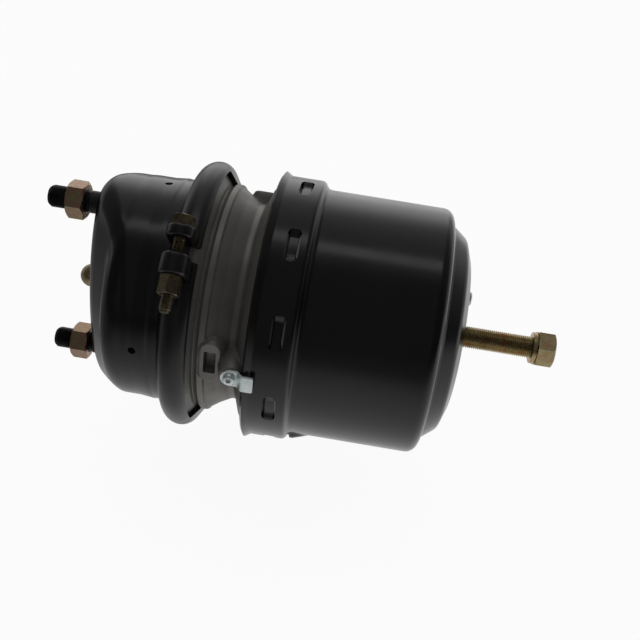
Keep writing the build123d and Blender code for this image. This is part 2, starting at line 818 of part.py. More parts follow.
def return_spring():
    """Conical spring between the mounting pad and the push plate."""
    return coil(return_spring_wire, return_spring_turns, cup_wall + free_gap,
                plate_front - free_gap, face_opening_radius + return_spring_face_offset,
                return_spring_plate_radius)


def spring_piston():
    """Pressed piston with a groove for its seal and its guide ring."""
    x = piston_front
    rim = barrel_bore - 0.6
    hole = release_bolt_diameter / 2 + 1.2
    seal = x + piston_seal_start
    guide = x + guide_ring_start
    return turned([
        (x, tube_bore, 0), (x, rim - 4.0, 2.5), (x + 3.0, rim, 0.5), (seal, rim, 0),
        (seal, rim - 3.0, 0), (seal + piston_seal_length, rim - 3.0, 0), (seal + piston_seal_length, rim, 0),
        (guide, rim, 0), (guide, rim - 3.0, 0), (guide + guide_ring_length, rim - 3.0, 0),
        (guide + guide_ring_length, rim, 0),
        (x + piston_depth, rim, 0.5), (x + piston_depth, rim - 6.0, 0.5),
        (x + piston_wall, rim - 7.5, 3.0), (x + piston_wall, hole, 0), (x - 1.0, hole, 0),
        (x - 1.0, tube_bore, 0),
    ])


def piston_ring(start, length):
    """A ring in one of the piston's grooves."""
    inner = barrel_bore - 3.6
    outer = barrel_bore - free_gap
    x = piston_front + start
    return turned([(x, inner, 0), (x, outer, 0.5), (x + length, outer, 0.5), (x + length, inner, 0)])


def piston_tube():
    """Tube that carries the piston's force to the diaphragm."""
    front = tube_front + tube_pad_flange
    return turned([(front, tube_bore, 0), (front, tube_radius, 0.8),
                   (piston_front, tube_radius, 0), (piston_front, tube_bore, 0)])


def tube_pad():
    """Thrust pad that closes the front of the tube."""
    front = tube_front
    flange_end = front + tube_pad_flange
    end = front + tube_pad_length
    return turned([(front, 0, 0), (front, tube_radius - 0.6, 1.5), (flange_end, tube_radius - 0.6, 0),
                   (flange_end, tube_bore, 0), (end, tube_bore, 0), (end, 0, 0)])


def power_spring():
    """Heavy conical spring, held compressed between the piston and the dome."""
    return coil(power_spring_wire, power_spring_turns, piston_front + piston_wall + free_gap,
                barrel_end + 9.5, barrel_bore - power_spring_room, dome_shoulder_radius - power_spring_inset)


def release_bolt():
    """Threaded rod of the release bolt, shown wound out."""
    end = dome_end + release_stand_out
    radius = release_bolt_diameter / 2
    start = piston_front - 1.0 - thrust_collar_thickness - free_gap
    return turned([(start, 0, 0), (start, radius - 1.0, 0), (start + 1.0, radius, 0),
                   (end, radius, 0), (end, 0, 0)])


def thrust_collar():
    """Collar inside the tube by which the bolt holds the piston back."""
    start = piston_front - 1.0 - thrust_collar_thickness - free_gap
    end = start + thrust_collar_thickness
    inner = release_bolt_diameter / 2
    return turned([(start + 1.0, inner, 0), (start + 1.0, thrust_collar_radius, 0.6),
                   (end, thrust_collar_radius, 0.6), (end, inner, 0)])


def release_collar():
    """Round collar under the release nut."""
    start = dome_end + release_stand_out
    radius = collar_diameter / 2
    return turned([(start, 0, 0), (start, radius, 0.5), (start + collar_thickness, radius, 0.5),
                   (start + collar_thickness, 0, 0)])


def release_nut():
    """Hexagon head of the release bolt."""
    start = dome_end + release_stand_out + collar_thickness
    return Pos(start, 0, 0) * Rot(Y=90) * hexagon(release_nut_flats, release_nut_height)


sub_parts = {
    "service_housing": service_housing,
    "mounting_studs": mounting_studs,
    "stud_nuts": stud_nuts,
    "rod_boot": rod_boot,
    "clamp_ring": clamp_ring,
    "clamp_bolt": clamp_bolt,
    "clamp_nut": clamp_nut,
    "flange_casting": flange_casting,
    "tube_bush": tube_bush,
    "tube_seal": tube_seal,
    "housing_seal": housing_seal,
    "spring_housing": spring_housing,
    "release_boss": release_boss,
    "end_screw": end_screw,
    "lock_clip": lock_clip,
    "lock_screw": lock_screw,
    "service_diaphragm": service_diaphragm,
    "return_spring": return_spring,
    "push_rod": push_rod,
    "push_plate": push_plate,
    "spring_piston": spring_piston,
    "piston_seal": lambda: piston_ring(piston_seal_start, piston_seal_length),
    "piston_guide_ring": lambda: piston_ring(guide_ring_start, guide_ring_length),
    "piston_tube": piston_tube,
    "tube_pad": tube_pad,
    "power_spring": power_spring,
    "release_bolt": release_bolt,
    "thrust_collar": thrust_collar,
    "release_collar": release_collar,
    "release_nut": release_nut,
}

os.makedirs("parts", exist_ok=True)
for name, make in sub_parts.items():
    made = make()
    solids = made if isinstance(made, list) else made.solids()
    shape = solids[0] if len(solids) == 1 else Compound(children=list(solids))
    shape.label = name
    export_step(shape, f"parts/{name}.step")
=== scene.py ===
"""Air brake chamber: the visual model of a combined service and spring brake actuator.

Sizes are in millimetres and meshes in metres, and angles are in degrees unless radians are named.
X runs along the chamber from the mounting face, Z is the line of the studs, and an angle round the
chamber starts at +Z and turns towards -Y.
"""

from __future__ import annotations

import logging
import math
from dataclasses import dataclass
from enum import Enum
from typing import Callable, Optional

import bmesh
import bpy
import numpy as np
from mathutils import Matrix, Vector


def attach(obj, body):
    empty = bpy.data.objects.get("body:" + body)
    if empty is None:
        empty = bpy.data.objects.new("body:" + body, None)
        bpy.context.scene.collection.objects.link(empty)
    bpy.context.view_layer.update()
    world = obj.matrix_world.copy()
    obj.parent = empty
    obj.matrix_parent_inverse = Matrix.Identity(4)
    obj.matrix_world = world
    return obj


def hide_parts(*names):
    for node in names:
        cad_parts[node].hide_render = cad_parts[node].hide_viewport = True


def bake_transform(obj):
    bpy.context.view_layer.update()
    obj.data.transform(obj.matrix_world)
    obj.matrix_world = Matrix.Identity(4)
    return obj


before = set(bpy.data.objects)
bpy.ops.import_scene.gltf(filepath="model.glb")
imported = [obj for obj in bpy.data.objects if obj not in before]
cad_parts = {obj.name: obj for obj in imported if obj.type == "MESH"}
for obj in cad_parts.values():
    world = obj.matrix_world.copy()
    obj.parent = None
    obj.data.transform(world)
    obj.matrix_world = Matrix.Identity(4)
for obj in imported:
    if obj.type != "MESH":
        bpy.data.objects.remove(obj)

Array = np.ndarray
Piece = bpy.types.Object
Material = bpy.types.Material
Field = Callable[[Array, Array], Array]
Pair = tuple[float, float]
Corner = tuple[float, float, float]
LOG = logging.getLogger("air_brake_chamber")
MM = 0.001
SHARP_EDGE = math.radians(32)
MERGE_DISTANCE = 2e-6
THREAD_COLUMNS = 48
FAR = 99.0
WIDEST_AWAY = 1.2


class Body(Enum):
    """The bodies that pieces ride on."""

    CHAMBER = "chamber"
    PISTON = "piston"
    ROD = "rod"
    BOLT = "bolt"


# ---- surfaces


def line_with_bends(corners: list[Corner], step: float) -> Array:
    """Points along a line of corners, each rounded by an arc of its bend radius.

    The tangent length of an arc is bend * tan(turn / 2), and its points lie at equal angles.

    Args:
        corners: (along, radius, bend) of each corner.
        step: the longest distance between points.

    Returns:
        An array of (along, radius) rows.
    """
    place = np.array([c[:2] for c in corners], float)
    pieces: list[Array] = []
    start = place[0]
    for i in range(1, len(corners)):
        end = place[i]
        arc = np.empty((0, 2))
        bend = corners[i][2]
        if bend > 0 and i < len(corners) - 1:
            into = (place[i] - place[i - 1]) / np.linalg.norm(place[i] - place[i - 1])
            out = (place[i + 1] - place[i]) / np.linalg.norm(place[i + 1] - place[i])
            turn = math.atan2(into[0] * out[1] - into[1] * out[0], float(into @ out))
            reach = bend * abs(math.tan(turn / 2))
            side = np.sign(turn) * np.array([-into[1], into[0]])
            end = place[i] - into * reach
            count = max(3, int(abs(turn) * bend / step) + 2, int(abs(turn) / 0.2) + 2)
            sweep = np.linspace(0, abs(turn), count)[1:, None]
            arc = end + side * bend * (1 - np.cos(sweep)) + into * bend * np.sin(sweep)
        count = max(1, int(np.linalg.norm(end - start) / step))
        share = np.linspace(0, 1, count + 1)[:-1, None]
        pieces += [start + (end - start) * share, end[None, :], arc]
        start = arc[-1] if len(arc) else end
        if len(arc):
            pieces[-1] = arc[:-1]
    pieces.append(start[None, :])
    points = np.vstack(pieces)
    apart = np.r_[True, np.linalg.norm(np.diff(points, axis=0), axis=1) > 1e-6]
    return points[apart]


def around_x(along: Array, radius: Array, angle: Array) -> Array:
    """The points (x, -r sin a, r cos a), in metres, at angles in radians round the X axis."""
    along, radius, angle = np.broadcast_arrays(along, radius, angle)
    return np.stack([along, -radius * np.sin(angle), radius * np.cos(angle)], axis=2) * MM


def about_z(radius: Array, angle: Array, height: Array) -> Array:
    """The points (r cos a, r sin a, z), in metres, at angles in radians round the Z axis."""
    radius, angle, height = np.broadcast_arrays(radius, angle, height)
    return np.stack([radius * np.cos(angle), radius * np.sin(angle), height], axis=2) * MM


def spread(line: Array, angles: Array) -> list[Array]:
    """Grids of a line's stations and radii and of the angles, with a row for each point of the line."""
    return list(np.broadcast_arrays(line[:, :1], line[:, 1:], angles[None]))


def away_from(angle: Array, centre: float, turn: float = 2 * math.pi) -> Array:
    """How far an angle lies from a centre, from minus half a turn to half a turn."""
    return (angle - centre + turn / 2) % turn - turn / 2


def flat_offset(face: float, away: Array) -> Array:
    """Distance along a flat face from its middle, at an angle away from it in radians: face * tan(away)."""
    return face * np.tan(np.clip(away, -WIDEST_AWAY, WIDEST_AWAY))


def boxed(wave: Array, power: float) -> Array:
    """A wave of unit height pushed towards +1 and -1: sign(wave) * |wave|^power."""
    return np.sign(wave) * np.abs(wave) ** power


def grid_faces(rows: int, columns: int, closed: bool, looped: bool) -> Array:
    """Quads between the neighbours of a grid of points.

    Args:
        rows: the number of rows.
        columns: the number of columns.
        closed: whether the last column joins the first.
        looped: whether the last row joins the first.

    Returns:
        An array of (faces, 4) point numbers.
    """
    i = np.arange(rows if looped else rows - 1)
    j = np.arange(columns if closed else columns - 1)
    i, j = np.meshgrid(i, j, indexing="ij")
    below, beside = (i + 1) % rows, (j + 1) % columns
    here, next_row = i * columns, below * columns
    return np.stack([here + j, next_row + j, next_row + beside, here + beside], 2).reshape(-1, 4)


def make_piece(name: str, points: Array, faces: Array, sharp: float = SHARP_EDGE) -> Piece:
    """A mesh object with its doubles merged, its loose points dropped and its faces turned outwards.

    Outwards means a positive signed volume, or for an open sheet away from the middle that it wraps.

    Args:
        name: the piece's name.
        points: (n, 3) points in the row frame, in metres.
        faces: (m, 4) point numbers, where a triangle repeats one of its points.
        sharp: the angle past which an edge is drawn sharp, in radians.

    Returns:
        The new object, at the origin.
    """
    flat = points.reshape(-1, 3)
    keys = np.round(flat / MERGE_DISTANCE).astype(np.int64)
    _, first, back = np.unique(keys, axis=0, return_index=True, return_inverse=True)
    faces = back.reshape(-1)[faces]
    used, faces = np.unique(faces, return_inverse=True)
    faces = faces.reshape(-1, 4)
    before = np.roll(faces, 1, axis=1)
    fresh = faces != before
    quads = faces[fresh.all(1) & (faces[:, 0] != faces[:, 2]) & (faces[:, 1] != faces[:, 3])]
    halved = fresh.sum(1) == 3
    triangles = faces[halved][fresh[halved]].reshape(-1, 3)
    mesh = bpy.data.meshes.new(name)
    mesh.from_pydata(flat[first][used].tolist(), [], quads.tolist() + triangles.tolist())
    mesh.validate()
    mesh.update()
    if signed_volume(mesh) < 0:
        mesh.flip_normals()
    mesh.shade_smooth()
    mesh.set_sharp_from_angle(angle=sharp)
    return linked(name, mesh)


def grid_piece(name: str, grid: Array, looped: bool = False, sharp: float = SHARP_EDGE) -> Piece:
    """A piece from a grid of points whose last column joins the first; if looped, its last row does too."""
    return make_piece(name, grid, grid_faces(len(grid), grid.shape[1], True, looped), sharp)


def linked(name: str, data: bpy.types.ID) -> Piece:
    """A new object in the scene that shows some data."""
    piece = bpy.data.objects.new(name, data)
    bpy.context.scene.collection.objects.link(piece)
    return piece


def signed_volume(mesh: bpy.types.Mesh) -> float:
    """The sum over the faces of area times normal times centre, measured from the mesh's middle."""
    count = len(mesh.polygons)
    centre, normal, area = np.empty(count * 3), np.empty(count * 3), np.empty(count)
    mesh.polygons.foreach_get("center", centre)
    mesh.polygons.foreach_get("normal", normal)
    mesh.polygons.foreach_get("area", area)
    centre = centre.reshape(-1, 3)
    middle = (centre * area[:, None]).sum(0) / area.sum()
    return float((((centre - middle) * normal.reshape(-1, 3)).sum(1) * area).sum())


def turned_piece(name: str, corners: list[Corner], columns: int, step: float = 0.8) -> Piece:
    """A solid of revolution from a closed half-section or one that starts and ends on the axis.

    Args:
        name: the piece's name.
        corners: (along, radius, bend) of each corner.
        columns: how many steps there are round the axis.
        step: the longest distance between points along the section.

    Returns:
        The new object.
    """
    hollow = corners[0][1] > 0
    profile = line_with_bends(corners + corners[:1], step)[:-1] if hollow else line_with_bends(corners, step)
    angles = np.radians(np.linspace(0, 360, columns, endpoint=False))
    return grid_piece(name, around_x(*spread(profile, angles)), hollow)


def placed(piece: Piece, place: Matrix) -> Piece:
    """Moves a piece's mesh and leaves its object at the origin."""
    piece.data.transform(place)
    piece.data.update()
    return piece


def joined(name: str, pieces: list[Piece]) -> Piece:
    """One object from several, with the first one's name replaced.

    Args:
        name: the name of the result.
        pieces: the objects to join.

    Returns:
        The joined object.
    """
    bpy.ops.object.select_all(action="DESELECT")
    for piece in pieces:
        piece.select_set(True)
    bpy.context.view_layer.objects.active = pieces[0]
    bpy.ops.object.join()
    pieces[0].name = name
    return pieces[0]


def around(angle: float, along: float, height: float = 0.0) -> Matrix:
    """Frame at an angle round the chamber: Z points outwards, X stays along it.

    Args:
        angle: the angle from +Z towards -Y.
        along: the station along X.
        height: the distance from the axis.

    Returns:
        The frame's matrix.
    """
    return Matrix.Rotation(math.radians(angle), 4, "X") @ Matrix.Translation((along * MM, 0, height * MM))


def along_x(station: float, height: float = 0.0, angle: float = 0.0) -> Matrix:
    """Frame whose Z runs along +X, at a station, and at a height and angle off the axis.

    Args:
        station: the place along X.
        height: the distance from the X axis.
        angle: the angle round the chamber.

    Returns:
        The frame's matrix.
    """
    return around(angle, station, height) @ Matrix.Rotation(math.pi / 2, 4, "Y")


def bed(value: Array, low: float, high: float) -> Array:
    """Smooth step from 0 at low to 1 at high: 3t^2 - 2t^3."""
    t = np.clip((value - low) / (high - low), 0, 1)
    return t * t * (3 - 2 * t)


def soft_max(a: Array, b: Array, width: float) -> Array:
    """The larger of two fields with a rounded join of the given width.

    It adds (width - |a - b|)^2 / (4 width) where the two are nearer than the width.
    """
    near = np.maximum(width - np.abs(a - b), 0)
    return np.maximum(a, b) + near * near / (4 * width)


def slot_distance(u: Array, v: Array, half_length: float, half_width: float) -> Array:
    """Signed distance from a slot with round ends, whose length runs along u."""
    reach = half_length - half_width
    return np.hypot(u - np.clip(u, -reach, reach), v) - half_width


def box_distance(u: Array, v: Array, half_u: float, half_v: float, bend: float) -> Array:
    """Signed distance from a rectangle with rounded corners."""
    a, b = np.abs(u) - half_u + bend, np.abs(v) - half_v + bend
    return np.hypot(np.maximum(a, 0), np.maximum(b, 0)) + np.minimum(np.maximum(a, b), 0) - bend


def round_max(a: Array, b: Array, bend: float) -> Array:
    """Two solids' signed distances joined as their overlap, with the edge between them rounded.

    Where both lie within the bend of the edge, it is hypot(a + bend, b + bend) - bend.
    """
    corner = np.hypot(np.maximum(a + bend, 0), np.maximum(b + bend, 0)) - bend
    return np.where((a > -bend) & (b > -bend), corner, np.maximum(a, b))


def graded(start: float, end: float, count: int, spots: list[tuple[float, float, float]]) -> Array:
    """Numbers from start to end that lie closer together near some spots.

    The density is 1 plus, for each spot, its weight times a smooth bump of its half-width.

    Args:
        start: the first number.
        end: the last number.
        count: how many numbers there are.
        spots: (centre, half-width, weight) of each dense stretch.

    Returns:
        The numbers, in rising order.
    """
    fine = np.linspace(start, end, 8001)
    density = np.ones_like(fine)
    for centre, half, weight in spots:
        away = np.abs(fine - centre)
        if end - start == 360:
            away = np.abs(away_from(fine, centre, 360))
        density += weight * (1 - bed(away, half, half * 1.25))
    total = np.concatenate([[0], np.cumsum((density[1:] + density[:-1]) / 2)])
    return np.interp(np.linspace(0, total[-1], count), total, fine)


def snapped(u: Array, v: Array, outlines: list[Field], reach: float) -> tuple[Array, Array, Array]:
    """Moves the points of a grid that lie near an outline onto it.

    A point moves by minus its signed distance along the distance's slope.

    Args:
        u: first coordinate of the points.
        v: second coordinate of the points.
        outlines: signed distance from each outline, negative inside it.
        reach: how near a point has to be to move.

    Returns:
        The new u and v, and the least signed distance, which is 0 on an outline.
    """
    least, step = np.full(u.shape, FAR), 1e-3
    for distance in outlines:
        gap = distance(u, v)
        slope_u = (distance(u + step, v) - distance(u - step, v)) / (2 * step)
        slope_v = (distance(u, v + step) - distance(u, v - step)) / (2 * step)
        near = np.abs(gap) < reach
        move = np.where(near, gap, 0)
        u, v = u - move * slope_u, v - move * slope_v
        least = np.minimum(least, np.where(near, 0, gap))
    return u, v, least


def outside(faces: Array, gap: Array) -> Array:
    """The faces on the positive side of an outline; one that it crosses from corner to corner is halved.

    Args:
        faces: (m, 4) point numbers.
        gap: each point's signed distance, 0 on the outline.

    Returns:
        The faces that are kept.
    """
    side = np.sign(gap.reshape(-1))[faces]
    low, high = side.min(1), side.max(1)
    kept = [faces[(low >= 0) & (high > 0)]]
    for k in (0, 1):
        split = (side[:, k] == 0) & (side[:, k + 2] == 0) & (low < 0) & (high > 0)
        for near, far in ((k, k + 2), (k + 2, k)):
            corner = (near + 1) % 4
            half = split & (side[:, corner] > 0)
            kept.append(faces[half][:, [near, corner, far, far]])
    return np.vstack(kept)


def walled(points: Array, faces: Array, inward: Array) -> tuple[Array, Array]:
    """Gives a sheet's open edges a wall, from each edge to its copy moved inwards.

    Args:
        points: (n, 3) points, in metres.
        faces: (m, 4) point numbers.
        inward: (n, 3) move of each point through the sheet's thickness, in metres.

    Returns:
        The points and the faces with the walls.
    """
    flat, inward = points.reshape(-1, 3), inward.reshape(-1, 3)
    edges = np.vstack([faces[:, [k, (k + 1) % 4]] for k in range(4)])
    edges = edges[edges[:, 0] != edges[:, 1]]
    _, first, count = np.unique(np.sort(edges, axis=1), axis=0, return_index=True, return_counts=True)
    rim = edges[first[count == 1]]
    n = len(flat)
    wall = np.column_stack([rim[:, 1], rim[:, 0], rim[:, 0] + n, rim[:, 1] + n])
    return np.vstack([flat, flat + inward]), np.vstack([faces, wall])


# ---- threads, nuts and plates


def threaded_points(start: float, end: float, radius: float, pitch: float, depth: float) -> Array:
    """A screw thread about the Z axis: radius less depth times a triangle wave of (z / pitch - turn).

    The wave is clipped to leave flats on its crests and roots, and fades out over a pitch at each end.

    Args:
        start: where the thread starts along Z.
        end: where the thread ends along Z.
        radius: the crest's radius.
        pitch: the distance between crests.
        depth: the depth of the thread.

    Returns:
        An array of (rows, columns, 3) points, in metres.
    """
    z = np.linspace(start, end, int((end - start) / pitch * 8) + 1)[:, None]
    turn = np.linspace(0, 1, THREAD_COLUMNS, endpoint=False)[None, :]
    wave = np.abs(((z / pitch - turn) % 1) * 2 - 1)
    fade = np.clip(np.minimum(z - start, end - z) / (0.8 * pitch), 0, 1)
    cut = depth * np.clip(wave * 1.3 - 0.15, 0, 1)
    r = (radius - cut) * fade + (radius - depth) * (1 - fade)
    return about_z(r, 2 * np.pi * turn, z)


def ringed_points(rows: list[Pair]) -> Array:
    """Circles about the Z axis, one for each (z, radius) in millimetres."""
    z, r = np.array(rows, float).T[:, :, None]
    return about_z(r, np.linspace(0, 2 * np.pi, THREAD_COLUMNS, endpoint=False), z)


def screw(name: str, head: list[Pair], thread: tuple[float, float, float, float, float],
          tail: list[Pair]) -> Piece:
    """A turned shank about Z with a thread in the middle of it.

    Args:
        name: the piece's name.
        head: (z, radius) rows before the thread, from the axis outwards.
        thread: start, end, radius, pitch and depth of the thread.
        tail: (z, radius) rows after the thread, back to the axis.

    Returns:
        The new object.
    """
    grid = np.concatenate([ringed_points(head), threaded_points(*thread), ringed_points(tail)])
    return grid_piece(name, grid)


def hexagon_piece(name: str, flats: float, height: float, bore: float,
                  chamfers: tuple[bool, bool] = (True, True), turn: float = 0.0) -> Piece:
    """A nut or a bolt head standing on the XY plane.

    At angle t its radius is (flats / 2) / cos(t from the nearest flat's middle), but no more than the chamfer
    cone's, which starts at 0.96 of the flats' half-width at an end and grows by 1.73 mm for each mm from it.

    Args:
        name: the piece's name.
        flats: the width across flats.
        height: the height.
        bore: the bore's radius, or 0 for a closed head.
        chamfers: whether the foot and the top are chamfered.
        turn: how far the hexagon is turned about its axis.

    Returns:
        The new object.
    """
    t = np.radians(np.linspace(0, 360, 216, endpoint=False))
    wide = flats / 2 / np.cos((t + np.pi / 6) % (np.pi / 3) - np.pi / 6)
    start, slope = 0.48 * flats, 1.73
    steps = np.concatenate([np.linspace(0, 0.16 * flats / slope, 9), [height / 2]])
    z = np.concatenate([steps, (height - steps)[::-1][1:]])[:, None]
    low = start + slope * z if chamfers[0] else np.full_like(z, np.inf)
    high = start + slope * (height - z) if chamfers[1] else np.full_like(z, np.inf)
    r = np.minimum(wide[None, :], np.minimum(low, high))
    inner = np.array([(height, bore + 0.9), (height - 0.9, bore), (0.9, bore), (0, bore + 0.9)])
    if not bore:
        inner = np.array([(height, 0.0)])
        r, z = np.vstack([0 * r[:1], r]), np.vstack([z[:1], z])
    r = np.vstack([r, np.repeat(inner[:, 1:], len(t), axis=1)])
    z = np.vstack([z, inner[:, :1]])
    return grid_piece(name, about_z(r, t + math.radians(turn), z), bool(bore), math.radians(18))


def pan_head(name: str, radius: float, height: float) -> Piece:
    """A pan head about Z with a six-lobe recess, whose radius runs as radius * (0.41 + 0.08 cos(6 t)).

    Args:
        name: the piece's name.
        radius: the head's radius.
        height: the head's height.

    Returns:
        The head.
    """
    t = np.linspace(0, 2 * np.pi, 120, endpoint=False)
    lobes = 0.41 + 0.08 * np.cos(6 * t)
    rim = np.array([(0, 0), (1, 0), (1, 0.40), (0.95, 0.63), (0.86, 0.82), (0.73, 0.93), (0.58, 0.99)])
    r = np.vstack([rim[:, :1] + 0 * t, lobes + 0.03, lobes, lobes, 0.2 * lobes, 0 * t])
    z = np.concatenate([rim[:, 1], [1.0, 0.95, 0.43, 0.3, 0.3]])[:, None]
    return grid_piece(name, about_z(radius * r, t, height * z))


def plate_piece(name: str, outline: Array, height: float, bend: float) -> Piece:
    """A plate on the XY plane with rounded edges.

    Each row is the outline moved inwards along its normals by bend * (1 - sin q), at a height that
    rises by bend * (1 - cos q) from each side.

    Args:
        name: the piece's name.
        outline: (n, 2) points anticlockwise.
        height: the plate's thickness.
        bend: the radius of its edges.

    Returns:
        The new object.
    """
    ahead = np.roll(outline, -1, axis=0) - np.roll(outline, 1, axis=0)
    normal = np.stack([ahead[:, 1], -ahead[:, 0]], axis=1) / np.linalg.norm(ahead, axis=1)[:, None]
    q = np.linspace(0, np.pi / 2, 6)
    inset = bend * (1 - np.sin(q))
    lift = bend * (1 - np.cos(q))
    inset = np.concatenate([inset, inset[::-1]])
    z = np.concatenate([lift, height - lift[::-1]])
    rows = outline[None] - normal[None] * inset[:, None, None]
    grid = np.concatenate([rows, np.repeat(z[:, None, None], len(outline), axis=1)], axis=2)
    middle = outline.mean(axis=0)
    caps = [np.tile([middle[0], middle[1], level], (1, len(outline), 1)) for level in (0.0, height)]
    return grid_piece(name, np.concatenate([caps[0], grid, caps[1]]) * MM)


# ---- sizes

STUD_SPACING, STUD_RADIUS, STUD_PITCH = 120.65, 8.0, 1.5
FACE_OPENING, CUP_WALL, PAD_HEIGHT, CUP_RADIUS, CUP_DEPTH = 26.0, 3.0, 18.5, 80.0, 69.7
SKIRT_LIP, SKIRT_END, SKIRT_RADIUS, BARREL_RADIUS = 122.8, 150.8, 95.0, 89.3
BARREL_END, DOME_END, LANCE_PLANE = 246.1, 265.4, 140.7
PORT_ANGLES, PORT_STATION, PORT_FACE = (-36.0, -68.0), 108.7, 80.2
CLIP_ANGLE, CLIP_STATION, CLIP_FACE = 90.5, 113.5, 93.6
STUD_NUT_TURN, RELEASE_NUT_TURN = 2.0, 27.8
CLAMP_ANGLE, CLAMP_STATION, CLAMP_RADIUS = 43.5, 71.7, 106.0
END_SCREW_ANGLE, END_SCREW_RADIUS = -31.0, 27.5
LANCE_ANGLES = [-3.5 + 36.0 * i for i in range(10)]
BLISTER_ANGLE = 146.0


# ---- finishes


def linear(colour: str) -> tuple[float, float, float, float]:
    """An sRGB hex colour as linear red, green, blue and alpha."""
    parts = [int(colour[i:i + 2], 16) / 255 for i in (1, 3, 5)]
    red, green, blue = [p / 12.92 if p <= 0.04045 else ((p + 0.055) / 1.055) ** 2.4 for p in parts]
    return red, green, blue, 1.0


def add_node(owner: bpy.types.ID, kind: str, settings: Optional[dict] = None, **links) -> bpy.types.Node:
    """Adds a shader node with its settings and links.

    Args:
        owner: the material or world to add to.
        kind: the node's type name without its first words, ShaderNode.
        settings: input values by the input's name or number, and other attributes by name.
        links: output sockets, or nodes for their first output, by the input's name with underscores
            for spaces, or by in_NUMBER.

    Returns:
        The new node.
    """
    node = owner.node_tree.nodes.new("ShaderNode" + kind)
    for key, value in (settings or {}).items():
        if isinstance(key, int) or key in node.inputs:
            node.inputs[key].default_value = value
        else:
            setattr(node, key, value)
    for key, source in links.items():
        label = key[3:] if key.startswith("in_") else key.replace("_", " ")
        socket = source.outputs[0] if isinstance(source, bpy.types.Node) else source
        owner.node_tree.links.new(socket, node.inputs[int(label) if label.isdigit() else label])
    return node


@dataclass(frozen=True)
class Finish:
    """A surface finish: two colours that drift into each other, a grain, and gloss that varies.

    The drift is slow noise between the two colours, the grain is fine noise that tilts the surface,
    the waviness is a broader tilt, as a pressing or a casting has, and the specks are small spots of a
    third colour. A noise of scale 500 / size has lumps about as large as the size.
    """

    name: str
    colour: str
    drift_colour: str
    metallic: float
    roughness: Pair
    drift_size: float
    grain_size: float
    grain_height: float
    wave_size: float = 12.0
    wave_height: float = 0.0
    specks: Optional[str] = None
    speck_size: float = 1.2
    speck_share: float = 0.12

    def build(self) -> Material:
        """Makes the finish's material.

        Returns:
            The node material.
        """
        material = bpy.data.materials.new(self.name)
        material.use_nodes = True
        material.node_tree.nodes.clear()
        place = add_node(material, "TexCoord").outputs["Object"]
        drift, gloss, grain, wave, fine = [
            add_node(material, "TexNoise", {
                "Scale": 500.0 / size, "Detail": detail, "Roughness": 0.55}, Vector=place)
            for size, detail in ((self.drift_size, 3.0), (self.drift_size * 0.4, 4.0), (self.grain_size, 3.0),
                                 (self.wave_size, 1.0), (self.speck_size, 2.0))]
        share = add_node(material, "MapRange", {"From Min": 0.35, "From Max": 0.65}, Value=drift)
        colour = add_node(material, "Mix", {
            "data_type": "RGBA", 6: linear(self.colour), 7: linear(self.drift_colour)}, in_0=share).outputs[2]
        if self.specks:
            share = add_node(material, "MapRange", {
                "From Min": 0.66 - self.speck_share, "From Max": 0.72 - self.speck_share / 2}, Value=fine)
            colour = add_node(material, "Mix", {
                "data_type": "RGBA", 7: linear(self.specks)}, in_0=share, in_6=colour).outputs[2]
        rough = add_node(material, "MapRange", {
            "From Min": 0.3, "From Max": 0.7, "To Min": self.roughness[0], "To Max": self.roughness[1]},
            Value=gloss)
        tilt = add_node(material, "Bump", {"Strength": 1.0, "Distance": self.grain_height * MM}, Height=grain)
        if self.wave_height:
            tilt = add_node(material, "Bump", {"Strength": 1.0, "Distance": self.wave_height * MM},
                            Height=wave, Normal=tilt)
        shader = add_node(material, "BsdfPrincipled", {"Metallic": self.metallic}, Base_Color=colour,
                          Roughness=rough, Normal=tilt)
        add_node(material, "OutputMaterial", Surface=shader)
        return material


